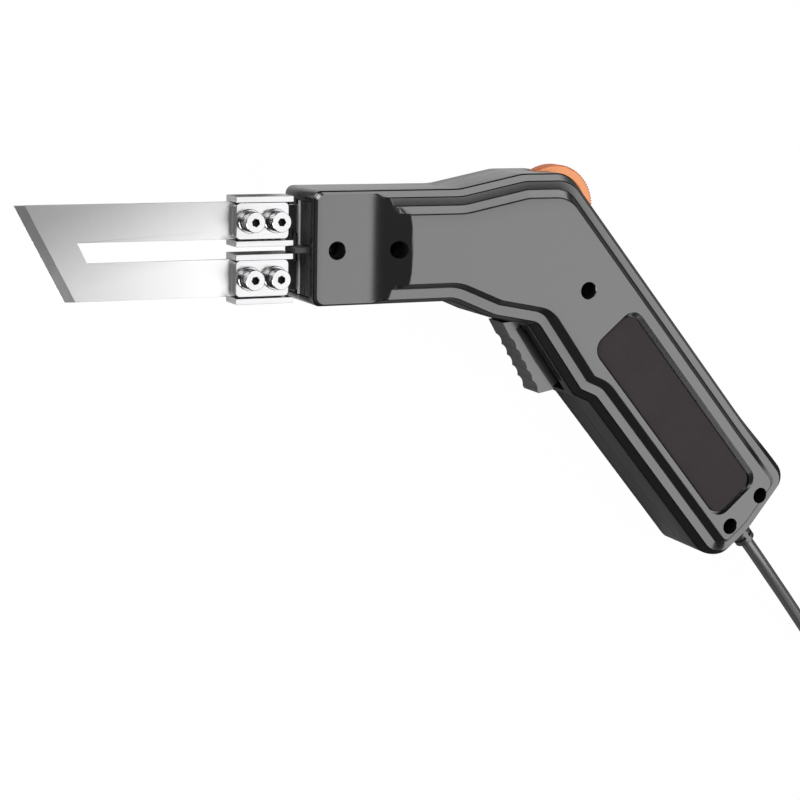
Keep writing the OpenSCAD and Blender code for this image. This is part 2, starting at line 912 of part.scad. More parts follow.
// Bobbin with two flanges
module transformer_bobbin() {
    long = core_length - 2 * yoke - 0.4;
    in_y = limb / 2 + 0.1;
    in_z = core_stack / 2 + 0.1;
    out_y = limb / 2 + window - 0.1;
    out_z = core_stack / 2 + 4.4;
    color("Ivory")
        union() {
            limb_frame(0.2, long, in_y, in_z, in_y + 1, in_z + 1);
            limb_frame(0.2, 1.2, in_y, in_z, out_y, out_z);
            limb_frame(long - 1, 1.2, in_y, in_z, out_y, out_z);
        }
}

// Primary winding between the flanges
module primary_winding() {
    in_y = limb / 2 + 1.2;
    in_z = core_stack / 2 + 1.2;
    color("#8a4a20")
        limb_frame(1.5, core_length - 2 * yoke - 3, in_y, in_z, limb / 2 + window - 1.6, core_stack / 2 + 3);
}

// One-turn copper strap over the primary
module secondary_strap() {
    in_y = limb / 2 + window - 1.5;
    in_z = core_stack / 2 + 3.1;
    color("Chocolate")
        limb_frame(1.5, 12, in_y, in_z, limb / 2 + window - 0.2, core_stack / 2 + 4.4);
}

// Control card on its posts
module control_board() {
    color("DarkGreen")
        on_handle(-8, -7)
            translate([0, 0, card_top - card])
                cube([27, 31, card]);
}

// Heat sink standing on the card
module heat_sink() {
    color("Silver")
        on_handle(14, -6)
            translate([0, 0, card_top])
                cube([2, 12, 14]);
}

// Triac screwed to the heat sink
module triac() {
    color("#202020")
        on_handle(9.4, -5)
            translate([0, 0, card_top])
                cube([4.6, 10, 13]);
}

// Capacitor on the card
module capacitor() {
    color("DarkRed")
        on_handle(8, 12)
            translate([0, 0, card_top])
                cube([9, 6, 6]);
}

// Potentiometer under the dial, bored for its shaft
module potentiometer() {
    color("#303a50")
        difference() {
            on_handle(dial_along, dial_n)
                translate([-5, -6, card_top])
                    cube([11, 12, -dial_thick / 2 - 1 - card_top]);
            translate([dial_x, dial_y, -30])
                cylinder(d = shaft_d + 2 * run, h = 40, $fn = 48);
        }
}

// Finely toothed thumbwheel
module dial() {
    color("#e8884c")
        translate([dial_x, dial_y, 0])
            difference() {
                union() {
                    translate([0, 0, -dial_thick / 2])
                        cylinder(d = dial_d, h = dial_thick, $fn = 128);
                    translate([0, 0, -dial_thick / 2 - 0.7])
                        cylinder(d = shaft_d + 3, h = dial_thick + 1.4, $fn = 48);
                }
                translate([0, 0, -30])
                    cylinder(d = shaft_d + 0.02, h = 60, $fn = 48);
                for (k = [0 : dial_teeth - 1])
                    rotate(k * 360 / dial_teeth)
                        translate([dial_d / 2 + 0.35, 0, -dial_thick / 2 - 1])
                            rotate(45)
                                translate([-0.6, -0.6, 0])
                                    cube([1.2, 1.2, dial_thick + 2]);
            }
}

// Shaft through the dial, from the potentiometer to the upper bearing
module dial_shaft() {
    color("Silver")
        translate([dial_x, dial_y, card_top + 0.5])
            cylinder(d = shaft_d, h = cavity_low - 1 - card_top - 0.5, $fn = 48);
}

// Trigger with finger scallops down its front
module trigger() {
    top = [16.6, -34.3];
    low = [53.5, -40.5];
    way = unit(low - top);
    smooth = 8;
    pitch = (norm(low - top) - smooth - 1.5) / scallops;
    radius = (pitch * pitch / 4 + scallop_depth * scallop_depth) / (2 * scallop_depth);
    color("Gray")
        on_handle(0, 0)
            translate([0, 0, -trigger_width / 2])
                difference() {
                    union() {
                        linear_extrude(trigger_width)
                            polygon([
                                top,
                                low,
                                [56.9, -34.6],
                                [58, -22],
                                [34, -20.5],
                                [26, -17],
                                [19, -21],
                                [19.4, -30.5]
                            ]);
                        translate([pin_along, -pin_ahead, 0])
                            cylinder(r = 4.2, h = trigger_width, $fn = 48);
                    }
                    translate([pin_along, -pin_ahead, -1])
                        cylinder(d = pin_d + 2 * run, h = trigger_width + 2, $fn = 48);
                    for (k = [0 : scallops - 1])
                        let (at = top + way * (smooth + pitch * (k + 0.5)))
                            translate([
                                at[0] + way[1] * (radius - scallop_depth),
                                at[1] - way[0] * (radius - scallop_depth),
                                -1
                            ])
                                cylinder(r = radius, h = trigger_width + 2, $fn = 64);
                }
}

// Pin pressed into both halves
module trigger_pin() {
    long = trigger_width + 7;
    color("Silver")
        on_handle(pin_along, -pin_ahead)
            translate([0, 0, -long / 2])
                cylinder(d = pin_d - 0.02, h = long, $fn = 48);
}

// Switch with a bore for its plunger
module switch_body() {
    color("#262626")
        on_handle(0, 0)
            difference() {
                translate([switch_start, switch_face, -switch_thick / 2])
                    cube([switch_length, switch_width, switch_thick]);
                translate([plunger_along, switch_face - 1, 0])
                    rotate([-90, 0, 0])
                        cylinder(d = plunger_d + 2 * run, h = 11, $fn = 48);
            }
}

// Plunger between the trigger and the switch
module switch_plunger() {
    color("WhiteSmoke")
        on_handle(0, 0)
            translate([plunger_along, -20.8, 0])
                rotate([-90, 0, 0])
                    cylinder(d = plunger_d, h = 11, $fn = 48);
}

// Bar over the cord inside the handle
module cord_clamp() {
    color("#3a3838")
        on_handle(handle_length - 23, guard_n)
            difference() {
                translate([-3, -cord_r - 7, cord_r])
                    cube([6, 2 * cord_r + 14, 3]);
                for (side = [-1, 1])
                    translate([0, side * (cord_r + 4), 0])
                        cylinder(d = 3.2, h = 20, $fn = 32);
            }
}

// Two screws for the clamp bar
module cord_clamp_screws() {
    color("Gray")
        on_handle(handle_length - 23, guard_n)
            for (side = [-1, 1])
                translate([0, side * (cord_r + 4), 0])
                    difference() {
                        union() {
                            translate([0, 0, cord_r + 3])
                                cylinder(d = 5, h = 2, $fn = 48);
                            translate([0, 0, cord_r - 7])
                                cylinder(d = 2.5, h = 10.1, $fn = 32);
                        }
                        translate([-2, -0.4, cord_r + 4.2])
                            cube([4, 0.8, 3]);
                    }
}

// Tapered guard with a flange inside the housing and slots round its tip
module cord_guard() {
    inside = wall + 4;
    color("#2a2828")
        on_handle(handle_length, guard_n)
            difference() {
                union() {
                    translate([-inside, 0, 0])
                        rotate([0, 90, 0])
                            cylinder(d = guard_d, h = inside, $fn = 64);
                    rotate([0, 90, 0])
                        cylinder(d1 = guard_d, d2 = guard_tip_d, h = guard_reach, $fn = 64);
                    translate([-inside - 0.6, -4.6, -8])
                        cube([3, 9.2, 16]);
                }
                translate([-30, 0, 0])
                    rotate([0, 90, 0])
                        cylinder(d = cord_d + 2 * run, h = 80, $fn = 64);
                for (k = [0 : 2], a = [0, 180])
                    rotate([a, 0, 0])
                        translate([guard_reach - 10 + k * 3.2, 0.9, -8])
                            cube([1.2, 10, 16]);
            }
}

// Smooth curve through hand-chosen points
function curve(p, i, t) = let (
    a = p[max(i - 1, 0)],
    b = p[i],
    c = p[i + 1],
    d = p[min(i + 2, len(p) - 1)]
) 0.5 * (2 * b + (c - a) * t + (2 * a - 5 * b + 4 * c - d) * t * t + (3 * b - a - 3 * c + d) * t * t * t);

// Round tube along a path, with flat ends
module tube(path, r, sides) {
    count = len(path);
    function way(i) = unit(path[min(i + 1, count - 1)] - path[max(i - 1, 0)]);
    function across(i) = unit(cross(way(i), [0, 0, 1]));
    points = [for (i = [0 : count - 1]) let (s = across(i), u = cross(s, way(i)))
        for (k = [0 : sides - 1]) path[i] + r * (s * cos(360 * k / sides) + u * sin(360 * k / sides))];
    skin = [for (i = [0 : count - 2]) for (k = [0 : sides - 1]) for (half = [0, 1])
        let (a = i * sides + k, b = i * sides + (k + 1) % sides)
        half == 0 ? [a, a + sides, b + sides] : [a, b + sides, b]];
    first = [for (k = [0 : sides - 1]) k];
    last = [for (k = [sides - 1 : -1 : 0]) (count - 1) * sides + k];
    polyhedron(points = points, faces = concat(skin, [first, last]), convexity = 10);
}

// Stored coil: winds in on the table, climbs one layer, winds out, then runs to the plug
function coil_turned(i) = i / rings_per_loop;
function coil_r(t) = t < turns_in ? coil_radius - t * loop_pitch
    : t < turns_in + 0.5 ? inner_radius - climb_dip * sin(360 * (t - turns_in))
    : inner_radius + (t - turns_in - 0.5) * loop_pitch;
function coil_z(t) = loop_low + loop_pitch * min(max((t - turns_in) / 0.5, 0), 1);
function coil_point(i) = let (t = coil_turned(i), a = coil_from + 360 * t)
    [coil_along + coil_r(t) * cos(a), coil_n + coil_r(t) * sin(a), coil_z(t)];
coil_out = coil_from + 360 * turns_all;
tail_way = [-sin(coil_out), cos(coil_out), 0];
coil_way = [-sin(coil_from), cos(coil_from), 0];
coil_start = coil_point(0);
coil_end = coil_point(coil_rings);
function eased(t) = t * t * (3 - 2 * t);
coil_path = concat(
    [coil_start - coil_way * cord_d],
    [for (i = [0 : coil_rings]) coil_point(i)],
    [for (k = [1 : tail_rings]) let (t = k / tail_rings)
        coil_end + tail_way * (t * tail_reach) + [0, 0, (plug_z - loop_high) * eased(min(t * 1.2, 1))]]
);
coil_gap = min([for (i = [0 : 2 : coil_rings]) for (j = [i + 18 : coil_rings + tail_rings])
    norm(coil_path[i] - coil_path[j])]) - cord_d;
echo(least_coil_gap = coil_gap);

// Free stretch of the cord, from inside the handle to the coil
cord_path = let (
    stops = concat(cord_points, [coil_start - coil_way * 2 * cord_d, coil_start - coil_way * cord_d])
) concat(
    [for (i = [0 : len(stops) - 3]) for (k = [0 : 2]) curve(stops, i, k / 3)],
    [stops[len(stops) - 2], stops[len(stops) - 1]]
);

module mains_cord() {
    color("#55585c")
        on_handle(0, 0)
            tube(cord_path, cord_r, 8);
}

module cord_coil() {
    color("#55585c")
        on_handle(0, 0)
            tube(coil_path, cord_r, 6);
}

// Strap round the coil
module cord_tie() {
    wide = coil_radius - inner_radius + cord_d + 1 + climb_dip;
    tall = loop_pitch + cord_d + 0.4;
    color("#1c1a1b")
        on_handle(0, 0)
            translate([coil_along, coil_n, floor_z])
                rotate(200)
                    translate([inner_radius - cord_r - 0.5 - climb_dip, -tie_width / 2, 0])
                        difference() {
                            translate([-tie_thick, 0, 0])
                                cube([wide + 2 * tie_thick, tie_width, tall + 2 * tie_thick]);
                            translate([0, -1, tie_thick])
                                cube([wide, tie_width + 2, tall]);
                        }
}

module at_plug() {
    last = coil_path[len(coil_path) - 1];
    on_handle(0, 0)
        translate([last[0], last[1], plug_z])
            rotate(coil_out + 90)
                children();
}

// Flat plug with a round neck
module plug_body() {
    neck = 8;
    color("#2a2828")
        at_plug()
            union() {
                rotate([0, 90, 0])
                    cylinder(d = cord_d + 4, h = neck + 1, $fn = 48);
                translate([neck + plug_length / 2, 0, -plug_thick / 2])
                    linear_extrude(plug_thick)
                        polygon(round_rect(plug_length, plug_width, 5));
            }
}

// Two round pins
module plug_pins() {
    color("Silver")
        at_plug()
            for (side = [-1, 1])
                translate([8 + plug_length, side * 9.3, 0])
                    rotate([0, 90, 0])
                        cylinder(d = 4, h = 19, $fn = 32);
}

translate([0, 0, panel_half]) {
    right_shell();
    left_shell();
    shell_screws();
    left_grip_pad();
    right_grip_pad();
    insulating_board();
    left_nose_plate();
    right_nose_plate();
    terminal_divider();
    upper_terminal();
    lower_terminal();
    upper_clamp_plate();
    lower_clamp_plate();
    clamp_screws();
    spring_washers();
    flat_washers();
    blade();
    upper_busbar();
    lower_busbar();
    busbar_bolts();
    busbar_nuts();
    transformer_core();
    transformer_bobbin();
    primary_winding();
    secondary_strap();
    control_board();
    triac();
    heat_sink();
    capacitor();
    potentiometer();
    dial();
    dial_shaft();
    trigger();
    trigger_pin();
    switch_body();
    switch_plunger();
    cord_clamp();
    cord_clamp_screws();
    cord_guard();
    mains_cord();
    cord_coil();
    cord_tie();
    plug_body();
    plug_pins();
}
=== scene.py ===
"""Looks of an electric hot knife: housing, blade clamps, trigger, thumbwheel, grips and mains cord."""

from __future__ import annotations

import logging
import math
from contextlib import contextmanager
from dataclasses import dataclass
from enum import Enum
from typing import Iterator, Optional, Sequence

import bmesh
import bpy
from mathutils import Matrix, Vector


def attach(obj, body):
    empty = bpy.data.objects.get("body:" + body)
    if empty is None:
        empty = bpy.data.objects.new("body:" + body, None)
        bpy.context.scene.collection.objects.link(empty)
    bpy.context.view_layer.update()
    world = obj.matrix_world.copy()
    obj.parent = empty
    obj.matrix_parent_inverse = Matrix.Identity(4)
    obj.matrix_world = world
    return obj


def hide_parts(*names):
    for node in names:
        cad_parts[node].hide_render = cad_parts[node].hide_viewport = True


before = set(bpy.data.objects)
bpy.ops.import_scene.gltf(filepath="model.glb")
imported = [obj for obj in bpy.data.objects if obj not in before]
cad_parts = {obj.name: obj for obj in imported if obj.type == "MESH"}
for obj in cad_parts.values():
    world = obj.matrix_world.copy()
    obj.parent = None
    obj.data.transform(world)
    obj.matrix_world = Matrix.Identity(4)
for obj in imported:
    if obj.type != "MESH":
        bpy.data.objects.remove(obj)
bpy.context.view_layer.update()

log = logging.getLogger("hot_knife")

Point2 = tuple[float, float]
Point3 = tuple[float, float, float]
Ring = tuple[float, ...]
Faces = list[Sequence[int]]
Piece = bpy.types.Object
Material = bpy.types.Material
Node = bpy.types.Node
Socket = bpy.types.NodeSocket
Tree = bpy.types.NodeTree

MM = 0.001
MID_PLANE = 21.5
HANDLE_ANGLE = math.radians(50.0)
HANDLE_END = 173.5
CORD_ACROSS = -0.5
DIAL_PLACE = (10.2, 14.9)
ORIGIN = Vector((0.0, 0.0, 0.0))
UP = Vector((0.0, 0.0, 1.0))
WHITE = (1.0, 1.0, 1.0, 1.0)
# Height of the bump on every finish, in metres
BUMP_HEIGHT = 0.0001
# Radius of a turned profile at its axis, in millimetres
ON_AXIS = 0.01
# Edges sharper than this many degrees stay crisp on small pieces
CREASE = 30.0
# Least corner rounds of the housing's inner lines, by corner number
LEAST_ROUND = {0: 4.0, 8: 3.4, 9: 3.4, 12: 13.0}
OTHER_ROUND = 0.8
# Numbers of the housing's two long edges along the nose
NOSE_LOW_EDGE = 7
NOSE_TOP_EDGE = 9


class Body(Enum):
    """Bodies of the part that pieces ride on."""

    HOUSING = "housing"
    TRIGGER = "trigger"
    DIAL = "speed_dial"


class Half(Enum):
    """The two halves of the housing, by the side of the mid plane they lie on."""

    LEFT = 1
    RIGHT = -1


def handle_point(along: float, across: float) -> Point2:
    """Gives the plan position of a point on the handle's axes, in millimetres.

    Args:
        along: distance down the handle from the elbow.
        across: distance towards the back of the handle.

    Returns:
        The x and y of the point.
    """
    cosine = math.cos(HANDLE_ANGLE)
    sine = math.sin(HANDLE_ANGLE)
    return (along * cosine + across * sine, -along * sine + across * cosine)


def row_point(x: float, y: float, z: float) -> Vector:
    """Moves a point given in millimetres about the mid plane into the row frame in metres."""
    return Vector((x * MM, y * MM, (z + MID_PLANE) * MM))


def handle_row_point(along: float, across: float, z: float) -> Vector:
    """Moves a point given along and across the handle into the row frame in metres."""
    x, y = handle_point(along, across)
    return row_point(x, y, z)


def eased(part: float) -> float:
    """Gives a share that starts and ends gently, held between 0 and 1."""
    part = min(max(part, 0.0), 1.0)
    return part * part * (3 - 2 * part)


# Nodes of shaders and of geometry trees


class Graph:
    """Adds and links the nodes of one node tree."""

    def __init__(self, tree: Tree) -> None:
        """Takes the tree that gets the nodes."""
        self.tree = tree

    def fill(self, node: Node, inputs: dict) -> None:
        """Links or sets inputs of a node.

        Args:
            node: the node.
            inputs: a socket to link or a value to set, by the input's name or number.
        """
        for key, value in inputs.items():
            if isinstance(value, Socket):
                self.tree.links.new(value, node.inputs[key])
            else:
                node.inputs[key].default_value = value

    def add(self, kind: str, inputs: Optional[dict] = None, **settings: object) -> Node:
        """Adds a node.

        Args:
            kind: type of the node.
            inputs: its inputs, as for fill.
            settings: its other settings.

        Returns:
            The new node.
        """
        node = self.tree.nodes.new(kind)
        for name, value in settings.items():
            setattr(node, name, value)
        self.fill(node, inputs or {})
        return node

    def maths(self, kind: str, *values: object) -> Socket:
        """Gives the result of one sum, product or other step."""
        return self.add("ShaderNodeMath", dict(enumerate(values)), operation=kind).outputs["Value"]

    def noise(self, vector: Socket, scale: float, detail: float) -> Socket:
        """Gives a noise value over the coordinates."""
        inputs = {"Vector": vector, "Scale": scale, "Detail": detail}
        return self.add("ShaderNodeTexNoise", inputs).outputs["Fac"]

    def mixed(self, share: Socket, first: object, second: object) -> Socket:
        """Gives two colours mixed by the share of the second."""
        inputs = {"Factor": share, 6: first, 7: second}
        return self.add("ShaderNodeMix", inputs, data_type="RGBA").outputs[2]

    def ranged(self, value: Socket, low: float, high: float, **settings: object) -> Socket:
        """Gives how far a value is from one limit to the other, between 0 and 1."""
        inputs = {"Value": value, "From Min": low, "From Max": high}
        return self.add("ShaderNodeMapRange", inputs, **settings).outputs["Result"]

    def along(self, place: Socket, way: Point3) -> Socket:
        """Gives the distance of a place along a direction."""
        inputs = {0: place, 1: way}
        return self.add("ShaderNodeVectorMath", inputs, operation="DOT_PRODUCT").outputs["Value"]


def new_group(name: str, kind: str, inputs: dict, outputs: dict) -> tuple[Graph, Node, Node]:
    """Makes an empty node group with its sockets.

    Args:
        name: name of the group.
        kind: type of its tree.
        inputs: type of each input socket, by name.
        outputs: type of each output socket, by name.

    Returns:
        The group's graph, its input node and its output node.
    """
    tree = bpy.data.node_groups.new(name, kind)
    for way, sockets in (("INPUT", inputs), ("OUTPUT", outputs)):
        for label, value_type in sockets.items():
            tree.interface.new_socket(label, in_out=way, socket_type="NodeSocket" + value_type)
    graph = Graph(tree)
    return graph, graph.add("NodeGroupInput"), graph.add("NodeGroupOutput")


# Finishes and the effects that they share


class Effects:
    """Shader node groups that more than one finish uses."""

    def __init__(self) -> None:
        """Builds every group once."""
        self.grain = self._surface("Moulded grain", cloud_scale=38.0, cloud_detail=4.0, cloud_share=0.5)
        self.brush = self._surface("Brush lines", cloud_scale=70.0, cloud_detail=3.0, cloud_share=0.4)
        self.smudge = self._handling_marks()

    @staticmethod
    def _surface(name: str, cloud_scale: float, cloud_detail: float, cloud_share: float) -> Tree:
        """Builds a fine pattern under a broad cloud, for moulded grain or drawn-out lines.

        Args:
            name: name of the group.
            cloud_scale: scale of the cloud.
            cloud_detail: octaves of the cloud.
            cloud_share: weight of the cloud beside the fine pattern.

        Returns:
            A group with a colour, a roughness and a height.
        """
        colours = {"Colour": "Color", "Deep Colour": "Color"}
        numbers = {"Roughness": "Float", "Spread": "Float"}
        graph, start, end = new_group(
            name,
            "ShaderNodeTree",
            {"Vector": "Vector", "Stretch": "Vector", **colours, **numbers},
            {"Colour": "Color", "Roughness": "Float", "Height": "Float"},
        )
        given = start.outputs
        spots = {0: given["Vector"], 1: given["Stretch"]}
        stretched = graph.add("ShaderNodeVectorMath", spots, operation="MULTIPLY")
        fine = graph.noise(stretched.outputs["Vector"], scale=1.0, detail=3.0)
        cloud = graph.noise(given["Vector"], cloud_scale, cloud_detail)
        weighed = graph.maths("MULTIPLY", fine, 1.0 - cloud_share)
        both = graph.maths("MULTIPLY_ADD", cloud, cloud_share, weighed)
        offset = graph.maths("SUBTRACT", both, 0.5)
        results = {
            "Colour": graph.mixed(both, given["Colour"], given["Deep Colour"]),
            "Roughness": graph.maths("MULTIPLY_ADD", offset, given["Spread"], given["Roughness"]),
            "Height": fine,
        }
        graph.fill(end, results)
        return graph.tree

    @staticmethod
    def _handling_marks() -> Tree:
        """Builds the faint smears and dust that handling leaves.

        Returns:
            A group with a mask.
        """
        sockets = {"Vector": "Vector", "Cover": "Float"}
        graph, start, end = new_group("Handling marks", "ShaderNodeTree", sockets, {"Mask": "Float"})
        vector = start.outputs["Vector"]
        smears = graph.noise(vector, scale=60.0, detail=5.0)
        dust = graph.noise(vector, scale=900.0, detail=2.0)
        gain = 2.0
        reach = graph.maths("MULTIPLY", graph.maths("MULTIPLY", smears, dust), start.outputs["Cover"])
        graph.fill(end, {"Mask": graph.maths("MULTIPLY", reach, gain)})
        return graph.tree


class FinishKind(Enum):
    """How a finish is made."""

    MOULDED = "moulded"
    METAL = "metal"


@dataclass(frozen=True)
class Finish:
    """One surface finish.

    A moulded finish has grain and handling marks, a metal one has drawn-out lines; either can have a
    painted highlight mixed in along a direction.
    """

    name: str
    kind: FinishKind
    colour: Point3
    deep_colour: Point3
    roughness: float
    spread: float
    scale: float = 2600.0
    bump: float = 0.15
    stretch: Point3 = (40.0, 2200.0, 2200.0)
    marks: float = 0.0
    mark_colour: Point3 = (0.3, 0.29, 0.28)
    specular: float = 0.5
    index: float = 1.5
    # Painted highlight: a lighter colour mixed in along a direction, standing in for brighter reflection on
    # the surface
    painted_highlight_from: Optional[float] = None
    painted_highlight_to: float = 0.0
    painted_highlight_colour: Point3 = (0.4, 0.4, 0.4)
    painted_highlight_way: Point3 = (1.0, 0.0, 0.0)

    def build(self, effects: Effects) -> Material:
        """Builds the material.

        Args:
            effects: the shared node groups.

        Returns:
            The material, with its nodes linked.
        """
        material = bpy.data.materials.new(self.name)
        material.use_nodes = True
        material.diffuse_color = (*self.colour, 1.0)
        graph = Graph(material.node_tree)
        moulded = self.kind is FinishKind.MOULDED
        place = graph.add("ShaderNodeTexCoord").outputs["Object"]
        inputs = {
            "Vector": place,
            "Stretch": (self.scale,) * 3 if moulded else self.stretch,
            "Colour": (*self.colour, 1.0),
            "Deep Colour": (*self.deep_colour, 1.0),
            "Roughness": self.roughness,
            "Spread": self.spread,
        }
        effect = effects.grain if moulded else effects.brush
        base = graph.add("ShaderNodeGroup", inputs, node_tree=effect).outputs
        shade = base["Colour"]
        # Painted highlight: the colour turns towards the lighter one along the given direction
        if self.painted_highlight_from is not None:
            reach = graph.ranged(graph.along(place, self.painted_highlight_way), self.painted_highlight_from, self.painted_highlight_to)
            shade = graph.mixed(reach, shade, (*self.painted_highlight_colour, 1.0))
        if self.marks > 0.0:
            covered = {"Vector": place, "Cover": self.marks}
            smudge = graph.add("ShaderNodeGroup", covered, node_tree=effects.smudge)
            shade = graph.mixed(smudge.outputs["Mask"], shade, (*self.mark_colour, 1.0))
        depth = {"Strength": self.bump, "Distance": BUMP_HEIGHT, "Height": base["Height"]}
        results = {
            "Base Color": shade,
            "Roughness": base["Roughness"],
            "Metallic": 0.0 if moulded else 1.0,
            "Specular IOR Level": self.specular,
            "IOR": self.index,
            "Normal": graph.add("ShaderNodeBump", depth).outputs["Normal"],
        }
        graph.fill(material.node_tree.nodes["Principled BSDF"], results)
        return material


HOUSING_PLASTIC = Finish(
    "Grey moulded housing", FinishKind.MOULDED, (0.008, 0.0078, 0.0083), (0.0055, 0.0055, 0.0058),
    roughness=0.22, spread=0.08, bump=0.06,
    marks=0.02, mark_colour=(0.10, 0.098, 0.096), specular=1.0, index=1.55,
)
TRIGGER_PLASTIC = Finish(
    "Trigger plastic", FinishKind.MOULDED, (0.056, 0.055, 0.057), (0.046, 0.046, 0.047),
    roughness=0.22, spread=0.12, bump=0.06,
    marks=0.03, mark_colour=(0.10, 0.098, 0.096), specular=1.0, index=1.5,
)
GRIP_RUBBER = Finish(
    "Soft grip rubber", FinishKind.MOULDED, (0.026, 0.020, 0.0215), (0.020, 0.015, 0.0165),
    roughness=0.75, spread=0.15, scale=1800.0, bump=0.25,
    marks=0.10, mark_colour=(0.12, 0.11, 0.105), specular=0.3,
)
BLACK_PLASTIC = Finish(
    "Black heatproof plastic", FinishKind.MOULDED, (0.026, 0.025, 0.026), (0.018, 0.018, 0.019),
    roughness=0.42, spread=0.15, bump=0.12, marks=0.06,
)
BOARD_LAMINATE = Finish(
    "Insulating laminate", FinishKind.MOULDED, (0.74, 0.73, 0.70), (0.64, 0.63, 0.60),
    roughness=0.5, spread=0.2, scale=900.0,
)
PLATED_STEEL = Finish(
    "Bright plated steel", FinishKind.METAL, (0.42, 0.42, 0.425), (0.36, 0.36, 0.365),
    roughness=0.16, spread=0.10, stretch=(60.0, 1500.0, 1500.0), bump=0.06,
)
DARK_STEEL = Finish(
    "Blackened steel screw", FinishKind.METAL, (0.16, 0.155, 0.15), (0.09, 0.088, 0.085),
    roughness=0.38, spread=0.2, stretch=(900.0, 900.0, 900.0), bump=0.1,
)
# Painted shade: near-black lining for the inside of each plated screw's socket, standing in for the shade
# in the recess
SOCKET_SHADE = Finish(
    "Dark screw socket", FinishKind.METAL, (0.040, 0.039, 0.038), (0.022, 0.022, 0.021),
    roughness=0.5, spread=0.15, stretch=(900.0, 900.0, 900.0), bump=0.1,
)
# Painted highlight: the blade is painted lighter towards its clamped end and its lower arm, standing in for
# brighter reflection there
BLADE_STEEL = Finish(
    "Resistance blade steel", FinishKind.METAL, (0.47, 0.47, 0.475), (0.40, 0.40, 0.405),
    roughness=0.36, spread=0.16, stretch=(2600.0, 50.0, 2600.0), bump=0.06,
    painted_highlight_from=-0.063, painted_highlight_to=-0.031, painted_highlight_colour=(0.74, 0.74, 0.745), painted_highlight_way=(0.23, -0.97, 0.0),
)
COPPER = Finish(
    "Rolled copper", FinishKind.METAL, (0.78, 0.36, 0.22), (0.58, 0.24, 0.14),
    roughness=0.34, spread=0.2, bump=0.06,
)
CORE_STEEL = Finish(
    "Stacked core sheet", FinishKind.METAL, (0.30, 0.30, 0.31), (0.17, 0.17, 0.18),
    roughness=0.5, spread=0.2, stretch=(60.0, 60.0, 4000.0), bump=0.3,
)
SINK_ALUMINIUM = Finish(
    "Drawn aluminium", FinishKind.METAL, (0.72, 0.73, 0.74), (0.58, 0.59, 0.60),
    roughness=0.36, spread=0.18, stretch=(2000.0, 2000.0, 60.0), bump=0.08,
)
BOBBIN_PLASTIC = Finish(
    "Bobbin nylon", FinishKind.MOULDED, (0.62, 0.60, 0.54), (0.52, 0.50, 0.44),
    roughness=0.5, spread=0.15,
)
WINDING_WIRE = Finish(
    "Lacquered winding wire", FinishKind.METAL, (0.62, 0.26, 0.12), (0.34, 0.12, 0.06),
    roughness=0.3, spread=0.15, stretch=(60.0, 60.0, 2400.0), bump=0.5,
)
CARD_GREEN = Finish(
    "Circuit card lacquer", FinishKind.MOULDED, (0.03, 0.16, 0.07), (0.02, 0.10, 0.05),
    roughness=0.35, spread=0.15, scale=700.0,
)
CAPACITOR_RED = Finish(
    "Dipped capacitor", FinishKind.MOULDED, (0.42, 0.10, 0.05), (0.32, 0.07, 0.04),
    roughness=0.38, spread=0.15, scale=500.0,
)
COMPONENT_BLUE = Finish(
    "Blue component case", FinishKind.MOULDED, (0.05, 0.14, 0.34), (0.035, 0.10, 0.26),
    roughness=0.42, spread=0.12,
)
DIAL_ORANGE = Finish(
    "Orange thumbwheel plastic", FinishKind.MOULDED, (0.93, 0.36, 0.14), (0.84, 0.30, 0.11),
    roughness=0.45, spread=0.12, bump=0.10, marks=0.05, mark_colour=(0.45, 0.20, 0.10),
)
# Painted shade: the teeth are a darker orange than the wheel, standing in for the shade between them
DIAL_TOOTH_SHADE = Finish(
    "Thumbwheel teeth plastic", FinishKind.MOULDED, (0.58, 0.19, 0.07), (0.48, 0.15, 0.055),
    roughness=0.5, spread=0.12, bump=0.10, marks=0.05, mark_colour=(0.25, 0.08, 0.04),
)
CORD_RUBBER = Finish(
    "Mains cord rubber", FinishKind.MOULDED, (0.064, 0.063, 0.064), (0.057, 0.056, 0.057),
    roughness=0.30, spread=0.06, scale=2200.0, bump=0.004,
    marks=0.04, mark_colour=(0.12, 0.12, 0.12), specular=1.0, index=1.62,
)
GUARD_RUBBER = Finish(
    "Cord guard rubber", FinishKind.MOULDED, (0.028, 0.028, 0.030), (0.020, 0.020, 0.021),
    roughness=0.38, spread=0.15, bump=0.12,
    marks=0.04, mark_colour=(0.12, 0.12, 0.12), specular=1.0, index=1.62,
)


class Paint:
    """Keeps one material for each finish."""

    def __init__(self) -> None:
        """Builds the shared effects and an empty rack of materials."""
        self.effects = Effects()
        self.rack: dict[str, Material] = {}

    def of(self, finish: Finish) -> Material:
        """Gives the material of a finish, built on first use."""
        if finish.name not in self.rack:
            self.rack[finish.name] = finish.build(self.effects)
        return self.rack[finish.name]


# Mesh work shared by the sub-assemblies


@contextmanager
def edited(mesh: bpy.types.Mesh, source: Optional[bpy.types.Mesh] = None) -> Iterator[bmesh.types.BMesh]:
    """Opens a mesh for editing and writes the result back.

    Args:
        mesh: mesh that gets the result.
        source: mesh to start from, if it is another one.

    Yields:
        The mesh in editable form.
    """
    work = bmesh.new()
    work.from_mesh(mesh if source is None else source)
    yield work
    work.to_mesh(mesh)
    work.free()


def new_object(name: str, data: bpy.types.ID) -> Piece:
    """Puts a mesh, a curve, a lamp or a camera into the scene as an object at the origin."""
    piece = bpy.data.objects.new(name, data)
    bpy.context.scene.collection.objects.link(piece)
    return piece


def mesh_object(name: str, points: Sequence[Vector], faces: Sequence[Sequence[int]]) -> Piece:
    """Makes an object from points and faces, with its faces turned outwards.

    Args:
        name: name of the object.
        points: corners in metres.
        faces: corner numbers of each face.

    Returns:
        The new object.
    """
    mesh = bpy.data.meshes.new(name)
    mesh.from_pydata([tuple(p) for p in points], [], [tuple(f) for f in faces])
    with edited(mesh) as work:
        bmesh.ops.remove_doubles(work, verts=work.verts, dist=1e-7)
        bmesh.ops.recalc_face_normals(work, faces=work.faces)
    return new_object(name, mesh)


